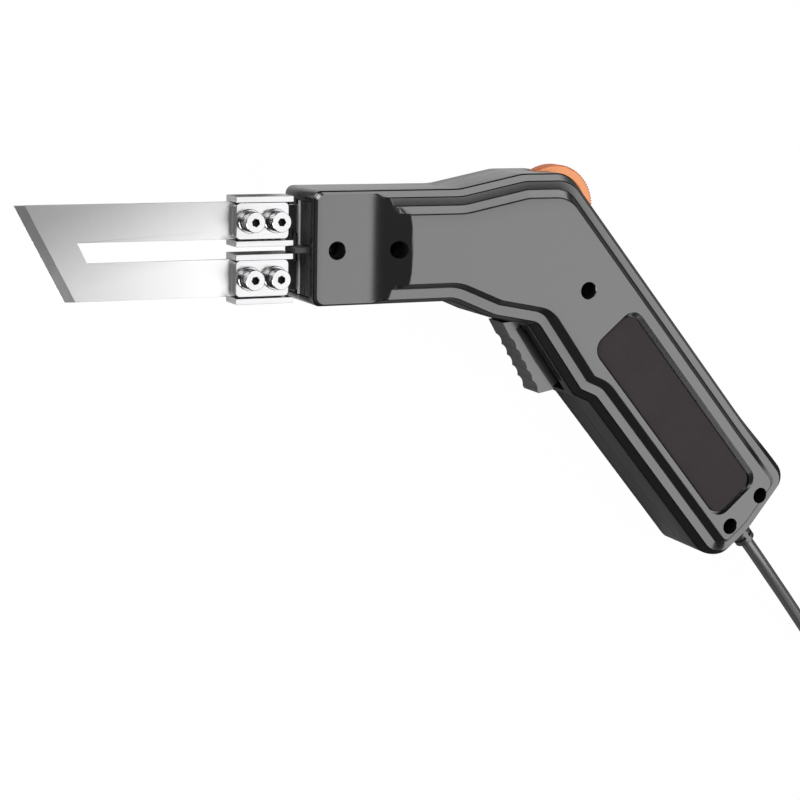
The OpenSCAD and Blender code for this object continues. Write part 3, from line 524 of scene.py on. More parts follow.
def ring_faces(rings: int, size: int, closed: bool = False) -> Faces:
    """Gives the faces between neighbouring rings of points.

    Args:
        rings: number of rings.
        size: points in each ring.
        closed: whether the last ring joins the first one.

    Returns:
        Corner numbers of each face.
    """
    faces: Faces = []
    for j in range(rings if closed else rings - 1):
        following = (j + 1) % rings
        for k in range(size):
            after = (k + 1) % size
            faces.append((j * size + k, j * size + after, following * size + after, following * size + k))
    return faces


def strip_faces(rows: int, size: int) -> Faces:
    """Gives the faces of an open sheet of points and the end and back faces that close it as a rib.

    Args:
        rows: number of rows.
        size: points in each row.

    Returns:
        Corner numbers of each face.
    """
    faces: Faces = []
    for j in range(rows - 1):
        for k in range(size - 1):
            a = j * size + k
            faces.append((a, a + 1, a + size + 1, a + size))
    last = (rows - 1) * size
    far_side = [size - 1 + j * size for j in range(rows)]
    near_side = [last - j * size for j in range(rows - 1)]
    return faces + [range(size), range(last, last + size), [0] + far_side + near_side]


def in_triangles(piece: Piece) -> Piece:
    """Splits every face into triangles, so that bent faces cut cleanly."""
    with edited(piece.data) as work:
        bmesh.ops.triangulate(work, faces=work.faces)
    return piece


def discard(piece: Piece) -> None:
    """Deletes a helper object and its mesh."""
    mesh = piece.data
    bpy.data.objects.remove(piece)
    if mesh.users == 0:
        bpy.data.meshes.remove(mesh)


def settle(piece: Piece) -> Piece:
    """Turns a piece's modifiers into plain mesh and gives the piece back."""
    bpy.context.view_layer.update()
    depsgraph = bpy.context.evaluated_depsgraph_get()
    made = bpy.data.meshes.new_from_object(piece.evaluated_get(depsgraph), depsgraph=depsgraph)
    made.name = piece.name
    piece.modifiers.clear()
    piece.data = made
    return piece


def cut_away(piece: Piece, cutters: Sequence[Piece]) -> Piece:
    """Takes closed solids out of a closed piece and deletes them.

    Args:
        piece: solid to cut.
        cutters: solids to take away.

    Returns:
        The cut piece.
    """
    for cutter in cutters:
        step = piece.modifiers.new("Cut", "BOOLEAN")
        step.operation = "DIFFERENCE"
        step.solver = "EXACT"
        step.object = cutter
    settle(piece)
    for cutter in cutters:
        discard(cutter)
    return piece


def shade_smooth(piece: Piece, angle: float = CREASE) -> Piece:
    """Smooths the shading of a mesh and keeps edges sharper than an angle.

    Args:
        piece: mesh object.
        angle: limit in degrees.

    Returns:
        The same object.
    """
    piece.data.shade_smooth()
    piece.data.set_sharp_from_angle(angle=math.radians(angle))
    return piece


def dress(piece: Piece, material: Material, body: Body, slot: str, *nodes: str) -> None:
    """Gives a finished piece its material, its body and the nodes it stands for.

    Args:
        piece: object in its place.
        material: finish of the whole piece.
        body: body that it rides on.
        slot: material slot of the record, not used.
        nodes: names of the solids that it replaces.
    """
    piece.data.materials.clear()
    piece.data.materials.append(material)
    if isinstance(piece.data, bpy.types.Mesh):
        for face in piece.data.polygons:
            face.material_index = 0
    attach(piece, body.value)
    if nodes:
        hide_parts(*nodes)
    log.info("piece %s rides on %s", piece.name, body.value)


def loft(name: str, rings: Sequence[tuple[Sequence[Point2], float]]) -> Piece:
    """Makes a closed solid through level outlines, in millimetres about the mid plane.

    Args:
        name: name of the object.
        rings: outline and height of each level, all with as many points.

    Returns:
        The solid.
    """
    size = len(rings[0][0])
    last = (len(rings) - 1) * size
    points = [row_point(x, y, height) for line, height in rings for x, y in line]
    caps: Faces = [range(size), range(last, last + size)]
    return mesh_object(name, points, caps + ring_faces(len(rings), size))


def prism(name: str, outline: Sequence[Point2], low: float, high: float) -> Piece:
    """Makes a straight prism on the tool's plan, in millimetres about the mid plane."""
    return loft(name, [(outline, low), (outline, high)])


def circle(centre: Point2, radius: float, sides: int) -> list[Point2]:
    """Gives the corners of a round outline in millimetres."""
    angles = [2 * math.pi * k / sides for k in range(sides)]
    return [(centre[0] + radius * math.cos(a), centre[1] + radius * math.sin(a)) for a in angles]


def lathe(
    name: str,
    profile: Sequence[Point2],
    sides: int,
    origin: Vector = ORIGIN,
    axis: Vector = UP,
) -> Piece:
    """Turns a closed profile round an axis.

    Args:
        name: name of the object.
        profile: distance along the axis and radius of each point, in millimetres.
        sides: steps round the axis.
        origin: start of the axis in the row frame.
        axis: direction of the axis.

    Returns:
        The turned solid.
    """
    turn = axis.to_track_quat("Z", "Y").to_matrix()
    points: list[Vector] = []
    for along, radius in profile:
        for x, y in circle((0.0, 0.0), radius, sides):
            points.append(origin + turn @ (Vector((x, y, along)) * MM))
    return mesh_object(name, points, ring_faces(len(profile), sides, closed=True))


def copied_node(
    node: str,
    name: str,
    bevel: float,
    segments: int = 2,
    angle: float = 30.0,
    cutters: Sequence[Piece] = (),
    crease: float = 34.0,
) -> Piece:
    """Copies a solid and rounds its edges.

    Args:
        node: name of the solid.
        name: name of the copy.
        bevel: width of the rounding in millimetres.
        segments: steps of the rounding.
        angle: edges sharper than this many degrees are rounded.
        cutters: solids to take away before the rounding.
        crease: edges sharper than this many degrees stay crisp in the shading.

    Returns:
        The rounded copy.
    """
    mesh = bpy.data.meshes.new(name)
    flat = math.radians(0.6)
    with edited(mesh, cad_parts[node].data) as work:
        bmesh.ops.remove_doubles(work, verts=work.verts, dist=2e-6)
        bmesh.ops.dissolve_limit(work, angle_limit=flat, verts=work.verts, edges=work.edges)
    piece = new_object(name, mesh)
    if cutters:
        cut_away(piece, cutters)
    step = piece.modifiers.new("Rounded edges", "BEVEL")
    step.width = bevel * MM
    step.segments = segments
    step.limit_method = "ANGLE"
    step.angle_limit = math.radians(angle)
    step.miter_outer = "MITER_ARC"
    step.use_clamp_overlap = True
    shade_smooth(settle(piece), crease)
    weights = piece.modifiers.new("Even normals", "WEIGHTED_NORMAL")
    weights.keep_sharp = True
    return settle(piece)


def joined(name: str, pieces: Sequence[Piece]) -> Piece:
    """Joins several meshes at the origin into one object and deletes them.

    Args:
        name: name of the new object.
        pieces: mesh objects to join.

    Returns:
        The joined object.
    """
    work = bmesh.new()
    for piece in pieces:
        work.from_mesh(piece.data)
    mesh = bpy.data.meshes.new(name)
    work.to_mesh(mesh)
    work.free()
    for piece in pieces:
        discard(piece)
    return new_object(name, mesh)


# Geometry Nodes for what repeats


class Repeats:
    """Geometry Nodes trees that set one pattern down many times."""

    def __init__(self) -> None:
        """Builds the trees once."""
        self.on_points = self._pattern_on_points()
        self.round_circle = self._pattern_round_circle()

    @staticmethod
    def _new_tree(name: str, more: dict) -> tuple[Graph, Node, Node]:
        """Makes an empty geometry tree with the sockets that both trees have and some more."""
        sockets = {"Geometry": "Geometry", "Pattern": "Object", "Finish": "Material", **more}
        return new_group(name, "GeometryNodeTree", sockets, {"Geometry": "Geometry"})

    @staticmethod
    def _copies(graph: Graph, start: Node, end: Node, points: Socket, turn: Socket, centre: object) -> Tree:
        """Sets the pattern on points, makes the copies real and gives them their material.

        Args:
            graph: the geometry tree.
            start: its input node.
            end: its output node.
            points: where the pattern goes.
            turn: rotation of each copy.
            centre: how far all the copies move.

        Returns:
            The finished tree.
        """
        source = {"Object": start.outputs["Pattern"]}
        pattern = graph.add("GeometryNodeObjectInfo", source, transform_space="ORIGINAL")
        inputs = {"Points": points, "Instance": pattern.outputs["Geometry"], "Rotation": turn}
        copies = graph.add("GeometryNodeInstanceOnPoints", inputs).outputs["Instances"]
        moved = graph.add("GeometryNodeTransform", {"Geometry": copies, "Translation": centre})
        real = graph.add("GeometryNodeRealizeInstances", {"Geometry": moved.outputs["Geometry"]})
        inputs = {"Geometry": real.outputs["Geometry"], "Material": start.outputs["Finish"]}
        paint = graph.add("GeometryNodeSetMaterial", inputs)
        graph.fill(end, {"Geometry": paint.outputs["Geometry"]})
        return graph.tree

    def _pattern_on_points(self) -> Tree:
        """Builds the tree that sets a pattern on each point, turned by the point's own angle."""
        graph, start, end = self._new_tree("Pattern on points", {})
        turn = graph.add("GeometryNodeInputNamedAttribute", {"Name": "turn"}, data_type="FLOAT_VECTOR")
        points = start.outputs["Geometry"]
        return self._copies(graph, start, end, points, turn.outputs["Attribute"], ORIGIN)

    def _pattern_round_circle(self) -> Tree:
        """Builds the tree that sets a pattern round a circle, facing outwards."""
        more = {"Count": "Int", "Radius": "Float", "Centre": "Vector"}
        graph, start, end = self._new_tree("Pattern round a circle", more)
        given = start.outputs
        ring = graph.add("GeometryNodeMeshCircle", {"Vertices": given["Count"], "Radius": given["Radius"]})
        where = {"Vector": graph.add("GeometryNodeInputPosition").outputs["Position"]}
        outwards = graph.add("FunctionNodeAlignRotationToVector", where, axis="X", pivot_axis="Z")
        turn = outwards.outputs["Rotation"]
        return self._copies(graph, start, end, ring.outputs["Mesh"], turn, given["Centre"])

    @staticmethod
    def _run(piece: Piece, tree: Tree, pattern: Piece, values: dict) -> Piece:
        """Runs a tree on a piece, keeps its result as plain mesh and deletes the pattern.

        Args:
            piece: object that carries the tree.
            tree: geometry tree.
            pattern: object at the origin to repeat.
            values: value of each other named input.

        Returns:
            The same object with the result.
        """
        step = piece.modifiers.new("Repeat", "NODES")
        step.node_group = tree
        given = {"Pattern": pattern, **values}
        for item in tree.interface.items_tree:
            if item.in_out == "INPUT" and item.name in given:
                step[item.identifier] = given[item.name]
        settle(piece)
        discard(pattern)
        return piece

    def set_on_points(
        self,
        name: str,
        pattern: Piece,
        points: Sequence[Vector],
        turns: Sequence[float],
        material: Material,
    ) -> Piece:
        """Sets a pattern on each of several points and deletes the pattern.

        Args:
            name: name of the new object.
            pattern: object at the origin to repeat.
            points: where it goes.
            turns: rotation of each one about its upright axis.
            material: finish of the result.

        Returns:
            One object with every copy in its mesh.
        """
        mesh = bpy.data.meshes.new(name)
        mesh.from_pydata([tuple(p) for p in points], [], [])
        layer = mesh.attributes.new("turn", "FLOAT_VECTOR", "POINT")
        for item, turn in zip(layer.data, turns):
            item.vector = (0.0, 0.0, turn)
        return self._run(new_object(name, mesh), self.on_points, pattern, {"Finish": material})

    def set_round_circle(
        self,
        name: str,
        pattern: Piece,
        count: int,
        radius: float,
        centre: Vector,
        material: Material,
    ) -> Piece:
        """Sets a pattern round a circle and deletes the pattern.

        Args:
            name: name of the new object.
            pattern: object at the origin to repeat.
            count: number of copies.
            radius: radius of the circle in millimetres.
            centre: centre of the circle in the row frame.
            material: finish of the result.

        Returns:
            One object with every copy in its mesh.
        """
        piece = new_object(name, bpy.data.meshes.new(name))
        values = {"Count": count, "Radius": radius * MM, "Centre": tuple(centre), "Finish": material}
        return self._run(piece, self.round_circle, pattern, values)


# Camera, lights and floor


@dataclass
class Studio:
    """Camera at the viewing angle, soft lamps and a pale floor, in metres."""

    place: Point3 = (-0.41695, 0.08915, 0.79376)
    look: Point3 = (0.41167, -0.18117, -0.89314)
    upright: Point3 = (0.07584, 0.98345, -0.16453)
    roll: float = 1.15
    lens: float = 90.0
    sensor: float = 36.0
    far: float = 20.0
    floor_half: float = 3.0
    floor_level: float = -0.0004
    # Tones of the floor's painted shade, grey beside the handle and pale elsewhere, which the housing's
    # glossy faces mirror
    floor_tones: Point2 = (0.2, 0.95)
    floor_roughness: float = 0.9
    # How much of the white covers the lit floor for the camera
    floor_white: float = 0.96
    white_strength: float = 1.03
    world_strength: float = 0.045

    def build(self) -> None:
        """Builds the camera, the world, the lamps and the floor."""
        bpy.context.scene.view_settings.view_transform = "Standard"
        self._camera()
        self._world()
        self._lamps()
        self._floor()

    def _camera(self) -> None:
        """Sets the camera by its place, its direction and its small roll."""
        data = bpy.data.cameras.new("Camera")
        data.lens = self.lens
        data.sensor_width = self.sensor
        data.clip_end = self.far
        camera = new_object("Camera", data)
        ahead = Vector(self.look).normalized()
        right = ahead.cross(Vector(self.upright)).normalized()
        up = right.cross(ahead).normalized()
        cosine = math.cos(math.radians(self.roll))
        sine = math.sin(math.radians(self.roll))
        columns = (right * cosine + up * sine, up * cosine - right * sine, -ahead, Vector(self.place))
        matrix = Matrix.Identity(4)
        for row in range(3):
            for column, values in enumerate(columns):
                matrix[row][column] = values[row]
        camera.matrix_world = matrix
        bpy.context.scene.camera = camera

    def _seen_white(self, graph: Graph, lit: Socket, share: float) -> Socket:
        """Shows plain white to the camera, also through clear pieces, and the lit shader to all other rays.

        Args:
            graph: nodes of the world or the floor.
            lit: shader that lights the object.
            share: how much of the white covers the lit shader.

        Returns:
            The mixed shader.
        """
        path = graph.add("ShaderNodeLightPath").outputs
        either = graph.maths("MAXIMUM", path["Is Camera Ray"], path["Is Transmission Ray"])
        part = graph.maths("MULTIPLY", either, share)
        glow = {"Color": WHITE, "Strength": self.white_strength}
        white = graph.add("ShaderNodeEmission", glow).outputs["Emission"]
        return graph.add("ShaderNodeMixShader", {"Fac": part, 1: lit, 2: white}).outputs["Shader"]

    def _world(self) -> None:
        """Builds a dim even world that looks white behind the floor."""
        world = bpy.data.worlds.new("World")
        world.use_nodes = True
        bpy.context.scene.world = world
        nodes = world.node_tree.nodes
        graph = Graph(world.node_tree)
        glow = nodes["Background"]
        graph.fill(glow, {"Color": WHITE, "Strength": self.world_strength})
        shown = self._seen_white(graph, glow.outputs["Background"], 1.0)
        graph.fill(nodes["World Output"], {"Surface": shown})

    @staticmethod
    def _lamp(name: str, place: Point3, target: Point3, size: Point2, power: float) -> None:
        """Adds one soft lamp.

        Args:
            name: name of the lamp.
            place: where it hangs.
            target: point that it faces.
            size: width and height of its face.
            power: watts.
        """
        data = bpy.data.lights.new(name, "AREA")
        data.shape = "RECTANGLE"
        data.size, data.size_y = size
        data.energy = power
        lamp = new_object(name, data)
        lamp.location = place
        way = Vector(target) - Vector(place)
        lamp.rotation_euler = way.to_track_quat("-Z", "Y").to_euler()

    def _lamps(self) -> None:
        """Hangs the lamps."""
        centre = (-0.02, -0.04, 0.02)
        self._lamp("Overhead softbox", (0.95, -0.34, 1.05), (0.95, -0.3399, 0.0), (1.6, 1.12), 13.8)
        self._lamp("Top softbox", (0.3, 1.05, 0.38), centre, (1.6, 0.7), 9.0)
        self._lamp("Back fill", (-0.45, 0.55, 1.0), (0.0, 0.12, 0.0), (0.6, 0.5), 6.0)
        self._lamp("Front fill", (-0.57, -0.27, 0.24), (-0.01, -0.07, 0.02), (0.4, 0.25), 2.3)
        self._lamp("Low right softbox", (0.75, -0.75, 0.3), centre, (0.9, 0.35), 0.9)
        self._lamp("Low left softbox", (-0.7, 0.7, 0.5), centre, (0.9, 0.45), 1.3)

    def _floor_shade(self, graph: Graph) -> Socket:
        """Gives the floor's painted shade, which the camera barely sees: pale behind the nose and ahead of
        it, and grey beside the handle, so that the housing's glossy faces mirror light or dark there.

        Args:
            graph: nodes of the floor's material.

        Returns:
            The shade.
        """
        place = graph.add("ShaderNodeTexCoord").outputs["Object"]
        shares = []
        for way, low, high in (
            ((-0.64, 0.77, 0.0), 0.0, 0.03),
            ((1.0, 0.0, 0.0), -0.118, -0.104),
            ((-1.0, 0.0, 0.0), -0.05, -0.03),
        ):
            along = graph.along(place, way)
            shares.append(graph.ranged(along, low, high, interpolation_type="SMOOTHSTEP"))
        pale = graph.maths("MULTIPLY", graph.maths("MULTIPLY", shares[0], shares[1]), shares[2])
        ahead = graph.ranged(graph.along(place, (-1.0, 0.0, 0.0)), 0.128, 0.140)
        tone = graph.ranged(graph.maths("MAXIMUM", pale, ahead), 0.0, 1.0)
        dark, light = self.floor_tones
        graph.fill(tone.node, {"To Min": dark, "To Max": light})
        return tone

    def _floor(self) -> None:
        """Lays the floor just under the tool."""
        half = self.floor_half
        sides = ((-half, -half), (half, -half), (half, half), (-half, half))
        floor = mesh_object("Floor", [Vector((x, y, self.floor_level)) for x, y in sides], [range(4)])
        material = bpy.data.materials.new("Pale floor")
        material.use_nodes = True
        nodes = material.node_tree.nodes
        graph = Graph(material.node_tree)
        shader = nodes["Principled BSDF"]
        graph.fill(shader, {"Base Color": self._floor_shade(graph), "Roughness": self.floor_roughness})
        shown = self._seen_white(graph, shader.outputs["BSDF"], self.floor_white)
        graph.fill(nodes["Material Output"], {"Surface": shown})
        floor.data.materials.append(material)


# Mains cord with its guard, tie and plug


@dataclass
class MainsCord:
    """Cord from the handle's end to a stored coil and a plug, in millimetres."""

    diameter: float = 6.2
    start: float = 146.0
    coil_along: float = 292.5
    coil_across: float = 54.7
    coil_from: float = 290.0
    coil_radius: float = 49.5
    pitch: float = 6.9
    turns_in: float = 3 + 5 / 12
    # Turns from the lower layer of the coil to the upper one
    change: float = 0.5
    # How far the cord bends inwards on that way
    dip: float = 1.2
    low: float = -17.7
    plug_z: float = -14.7
    tail: float = 48.0
    # How much sooner than at its end the tail has reached the plug's height
    tail_rate: float = 1.2
    tail_steps: int = 12
    steps_per_turn: int = 36
    steps_per_stop: int = 5

    def free_stops(self) -> list[Vector]:
        """Gives the listed points of the free stretch, along and across the handle."""
        stops = [(run, CORD_ACROSS, 0.0) for run in (0, 14, 28, 46)]
        stops += [(60, -0.5, -0.8), (74, -0.2, -2.8), (88, 0.4, -5.6), (102, 1.0, -8.8), (116, 1.6, -12.0)]
        stops += [(129, 2.3, -14.8), (141, 3.4, -16.7), (150, 4.9, self.low + 0.2)]
        return [Vector((self.start + run, across, z)) for run, across, z in stops]

    def coil_point(self, turned: float) -> Vector:
        """Gives a point of the coil.

        Args:
            turned: turns from the start of the coil.

        Returns:
            The point, along and across the handle.
        """
        inner = self.coil_radius - self.turns_in * self.pitch
        past = turned - self.turns_in
        if past < 0.0:
            radius = self.coil_radius - turned * self.pitch
        elif past < self.change:
            radius = inner - self.dip * math.sin(2 * math.pi * past)
        else:
            radius = inner + (past - self.change) * self.pitch
        climb = min(max(past / self.change, 0.0), 1.0)
        angle = math.radians(self.coil_from + 360 * turned)
        along = self.coil_along + radius * math.cos(angle)
        across = self.coil_across + radius * math.sin(angle)
        return Vector((along, across, self.low + self.pitch * climb))

    @staticmethod
    def _heading(degrees: float) -> Vector:
        """Gives the way that the coil runs at an angle."""
        angle = math.radians(degrees)
        return Vector((-math.sin(angle), math.cos(angle), 0.0))

    def route(self) -> list[Vector]:
        """Gives the whole centre line in the row frame, from inside the handle to the plug."""
        turns = 2 * self.turns_in + self.change
        way = self._heading(self.coil_from)
        begin = self.coil_point(0.0)
        stops = self.free_stops()
        stops += [begin - way * 2 * self.diameter, begin - way * self.diameter]
        line: list[Vector] = []
        for i in range(len(stops) - 2):
            line += [self._curve(stops, i, k / self.steps_per_stop) for k in range(self.steps_per_stop)]
        line += stops[-2:]
        count = round(turns * self.steps_per_turn)
        line += [self.coil_point(turns * i / count) for i in range(count + 1)]
        tail_way = self._heading(self.coil_from + 360 * turns)
        end = line[-1].copy()
        drop = self.plug_z - end.z
        for k in range(1, self.tail_steps + 1):
            share = k / self.tail_steps
            lift = UP * drop * eased(share * self.tail_rate)
            line.append(end + tail_way * share * self.tail + lift)
        return [handle_row_point(p.x, p.y, p.z) for p in line]

    @staticmethod
    def _curve(stops: Sequence[Vector], i: int, t: float) -> Vector:
        """Gives a point between two stops on a smooth curve through all of them."""
        a = stops[max(i - 1, 0)]
        b = stops[i]
        c = stops[i + 1]
        d = stops[min(i + 2, len(stops) - 1)]
        bent = (2 * a - 5 * b + 4 * c - d) * t * t
        return 0.5 * (2 * b + (c - a) * t + bent + (3 * b - a - 3 * c + d) * t * t * t)

    def build(self, paint: Paint) -> None:
        """Builds the cord, its guard, its tie and its plug."""
        line = self.route()
        data = bpy.data.curves.new("mains_lead", "CURVE")
        data.dimensions = "3D"
        data.bevel_depth = self.diameter / 2 * MM
        data.bevel_resolution = 5
        data.use_fill_caps = True
        spline = data.splines.new("POLY")
        spline.points.add(len(line) - 1)
        for spot, place in zip(spline.points, line):
            spot.co = (*place, 1.0)
        spline.use_smooth = True
        cord = new_object("mains_lead", data)
        dress(cord, paint.of(CORD_RUBBER), Body.HOUSING, "cord_rubber", "mains_cord", "cord_coil")
        plug = copied_node("plug_body", "plug_shell", 1.6, 4)
        dress(plug, paint.of(GUARD_RUBBER), Body.HOUSING, "guard_rubber", "plug_body")
        pins = copied_node("plug_pins", "plug_contacts", 0.5, 3)
        dress(pins, paint.of(PLATED_STEEL), Body.HOUSING, "plated_steel", "plug_pins")
        tie = copied_node("cord_tie", "coil_strap", 0.2)
        dress(tie, paint.of(GRIP_RUBBER), Body.HOUSING, "black_plastic", "cord_tie")
        guard = copied_node("cord_guard", "cord_sleeve", 0.25)
        dress(guard, paint.of(GUARD_RUBBER), Body.HOUSING, "guard_rubber", "cord_guard")


# Housing halves with their screws and grips


@dataclass
class Housing:
    """Two moulded halves, screws down the left one and a grip pad on each side, in millimetres."""

    half_width: float = 27.25
    edge_height: float = 15.0
    ledge_height: float = 18.2
    ledge_rise: float = 0.5
    panel_edge: float = 21.2
    lip_edge: float = 19.9
    lip_height: float = 20.7
    lip_rise: float = 0.15
    panel: float = 21.5
    nose_x: float = -109.0
    nose_height: float = 16.7
    # Rise of the wall's edge along the nose, where it starts and over what length
    nose_lift: float = 0.47
    lift_from: float = -72.0
    lift_length: float = 13.0
    ramp_foot: float = 29.0
    ramp_angle: float = 20.0
    ramp_bend: float = 5.0
    wall: float = 2.4
    hollow: float = 14.3
    arc_steps: int = 12
    # Where one more ring lies on the chamfer, between its two seams
    nose_share: float = 0.45
    # How far the back rim has climbed to the end's lip at the corner, and over what share of its length
    back_climb: float = 0.85
    climb_length: float = 0.2
    pad_along: float = 102.5
    pad_across: float = -0.3
    pad_length: float = 107.0
    pad_width: float = 24.5
    pad_corner: float = 6.0
    pad_floor: float = 19.3
    pad_top: float = 20.5
    well_radius: float = 3.7
    well_floor: float = 3.9
    tube_radius: float = 5.2
    tube_floor: float = 2.7
    screw_seat: float = 4.0
    # How far most cutting solids reach below the mid plane
    under: float = 1.0
    # Half width and height of the nose's mouth
    nose_mouth: Point2 = (19.8, 12.4)
    trigger_slot: float = 7.6
    trigger_mouth: float = 10.0
    dial_hole: float = 19.5
    dial_slot: float = 4.6
    guard_hole: float = 5.35
    # Edges sharper than this many degrees stay crisp
    shell_crease: float = 19.0
    pad_crease: float = 35.0

    def corners(self) -> list[tuple[Point2, float]]:
        """Gives the outline's corners with their radii, clockwise from the back of the handle's end."""
        w = self.half_width
        return [
            (handle_point(HANDLE_END - 6.1, w), 8.0),
            (handle_point(HANDLE_END, -4.0), 40.0),
            (handle_point(HANDLE_END - 1.0, -w), 10.0),
            (handle_point(69.5, -w), 4.0),
            (handle_point(61.5, -w - 3.9), 4.0),
            (self._belly_corner(), 4.0),
            ((-26.0, -31.0), 14.0),
            ((-45.0, -23.0), 14.0),
            ((self.nose_x, -23.0), 3.0),
            ((self.nose_x, 24.7), 3.5),
            ((-42.6, 24.7), 25.0),
            ((-12.7, 30.7), 20.0),
            ((9.81, 30.7), 9.0),
        ]

    def _belly_corner(self) -> Point2:
        """Gives the corner where the belly line meets the handle's front."""
        drop = 34.5
        across = -self.half_width - 1.15
        return ((across + drop * math.cos(HANDLE_ANGLE)) / math.sin(HANDLE_ANGLE), -drop)

    @staticmethod
    def rims() -> list[Point3]:
        """Gives the widths of the chamfer, the ledge and the step along each edge."""
        bottom = (2.0, 4.4, 2.0)
        front = (4.0, 4.0, 3.4)
        top = (3.4, 3.4, 3.3)
        back = (2.4, 3.4, 2.4)
        nose = (4.0, 2.0, 2.0)
        end = (0.6, 3.1, 0.5)
        return [end] * 2 + [front] * 3 + [bottom] * 3 + [nose] + [top] * 3 + [back]

    @staticmethod
    def edge_steps() -> list[int]:
        """Gives how many steps each straight edge has, closest where the nose ramp crosses."""
        return [2, 2, 14, 2, 10, 4, 4, 110, 8, 110, 4, 4, 40]

    def _corner_arc(self, i: int, before: Vector, after: Vector, near: float, far: float) -> list[Vector]:
        """Gives the round of one corner of the outline, moved inwards.

        Args:
            i: number of the corner.
            before: direction of the edge that arrives.
            after: direction of the edge that leaves.
            near: distance inwards of the first edge.
            far: distance inwards of the second edge.

        Returns:
            Points along the round.
        """
        place, given_radius = self.corners()[i]
        inward = Vector((before.y, -before.x))
        onward = Vector((after.y, -after.x))
        span = inward.x * onward.y - inward.y * onward.x
        shift = Vector((near * onward.y - far * inward.y, far * inward.x - near * onward.x))
        corner = Vector(place) + shift / span
        turn = math.atan2(before.x * after.y - before.y * after.x, before.dot(after))
        mean = (near + far) / 2
        least = LEAST_ROUND.get(i, OTHER_ROUND)
        radius = max(given_radius - mean, least) if turn < 0 else given_radius + mean
        start = corner - before * radius * math.tan(abs(turn) / 2)
        centre = start + inward * radius * (1 if turn < 0 else -1)
        arm = start - centre
        arc: list[Vector] = []
        for k in range(self.arc_steps + 1):
            cosine = math.cos(turn * k / self.arc_steps)
            sine = math.sin(turn * k / self.arc_steps)
            arc.append(centre + Vector((arm.x * cosine - arm.y * sine, arm.x * sine + arm.y * cosine)))
        return arc

    def outline(self, reach: Sequence[float]) -> list[Vector]:
        """Gives the outline moved inwards by one distance for each edge.

        Args:
            reach: distance inwards, edge by edge.

        Returns:
            Points round the outline, clockwise.
        """
        corners = [Vector(place) for place, _ in self.corners()]
        count = len(corners)
        ways = [(corners[(i + 1) % count] - corners[i]).normalized() for i in range(count)]
        arcs = [self._corner_arc(i, ways[i - 1], ways[i], reach[i - 1], reach[i]) for i in range(count)]
        line: list[Vector] = []
        for i, steps in enumerate(self.edge_steps()):
            arrive = arcs[(i + 1) % count][0]
            line += arcs[i]
            line += [arcs[i][-1].lerp(arrive, k / steps) for k in range(1, steps)]
        return line

    def end_share(self) -> list[float]:
        """Gives, point by point round the outline, how much it belongs to the handle's end."""
        shares: list[float] = []
        # Edges 0 and 1 are the end itself, and edge 12 is the back that climbs to it
        for i, steps in enumerate(self.edge_steps()):
            for k in range(self.arc_steps + 1):
                smooth = eased(k / self.arc_steps)
                climbed = self.back_climb + (1.0 - self.back_climb) * smooth
                shares.append({0: climbed, 1: 1.0, 2: 1.0 - smooth}.get(i, 0.0))
            for k in range(1, steps):
                smooth = eased(1.0 - (1.0 - k / steps) / self.climb_length)
                shares.append({0: 1.0, 1: 1.0, 12: self.back_climb * smooth}.get(i, 0.0))
        return shares

    def edge_span(self, edge: int) -> tuple[int, int]:
        """Gives the first and last point number of a straight edge in the outline."""
        steps = self.edge_steps()
        first = sum(self.arc_steps + steps[i] for i in range(edge)) + self.arc_steps
        return first, first + steps[edge]

    def _lifted(self, x: float, height: float) -> float:
        """Gives how much higher the wall's edge runs along the nose, which makes the chamfer there small.

        Args:
            x: place along the tool.
            height: height of the ring elsewhere.

        Returns:
            The lift of the ring.
        """
        chamfer = self.ledge_height - self.edge_height
        near = max(1.0 - abs(height - self.edge_height) / chamfer, 0.0)
        return self.nose_lift * eased((self.lift_from - x) / self.lift_length) * near

    def relief(self, x: float) -> float:
        """Gives the height of the nose and its ramp at a place along the tool."""
        slope = math.tan(math.radians(self.ramp_angle))
        rise = x - self.nose_x - self.ramp_foot
        bend = self.ramp_bend
        if rise <= -bend:
            return self.nose_height
        if rise >= bend:
            return self.nose_height + rise * slope
        return self.nose_height + slope * (rise + bend) ** 2 / (4 * bend)

    def surface(self, x: float, height: float) -> float:
        """Gives the lower of a rim height and the nose relief, with a small round between them.

        Args:
            x: place along the tool.
            height: height of the rim.

        Returns:
            The height of the finished surface.
        """
        blend = 0.2
        other = self.relief(x)
        near = max(blend - abs(height - other), 0.0) / blend
        return min(height, other) - near * near * blend / 4

    def profile(self) -> list[Ring]:
        """Gives the rings of the half shell, with fine seams and small rounds at its edges.

        Returns:
            Share of the chamfer, the ledge and the step, extra inset, height, and height at the
            handle's end, of each ring.
        """
        foot = (0.0, 0.0, 0.0, 0.0, 0.15, 0.15)
        edge = (0.0, 0.0, 0.0, 0.0, self.edge_height, self.lip_edge)
        ledge = (1.0, 0.0, 0.0, 0.0, self.ledge_height, self.lip_height)
        inner = (1.0, 1.0, 0.0, 0.0, self.ledge_height + self.ledge_rise, self.lip_height + self.lip_rise)
        rim = (1.0, 1.0, 1.0, 0.0, self.panel_edge, self.panel_edge)
        crown = (1.0, 1.0, 1.0, 5.0, self.panel, self.panel)
        cap = (1.0, 1.0, 1.0, 6.0, self.panel, self.panel)
        rings = [(0.0, 0.0, 0.0, 0.12, 0.0, 0.0), foot, self._sunk(edge, edge, 0.0, 0.3)]
        # Share of the chamfer and depth of each ring of the two seams
        seam_low = ((0.02, 0.1), (0.05, 0.0), (0.06, 0.6), (0.17, 0.7), (0.19, 0.0))
        seam_high = ((0.84, 0.0), (0.89, 0.0), (0.90, 0.6), (1.0, 0.6))
        for share, depth in (*seam_low, (self.nose_share, 0.0), *seam_high):
            rings.append(self._sunk(edge, ledge, share, depth))
        rings += [self._between(ledge, inner, 0.01), self._between(ledge, inner, 0.08)]
        steps = 4
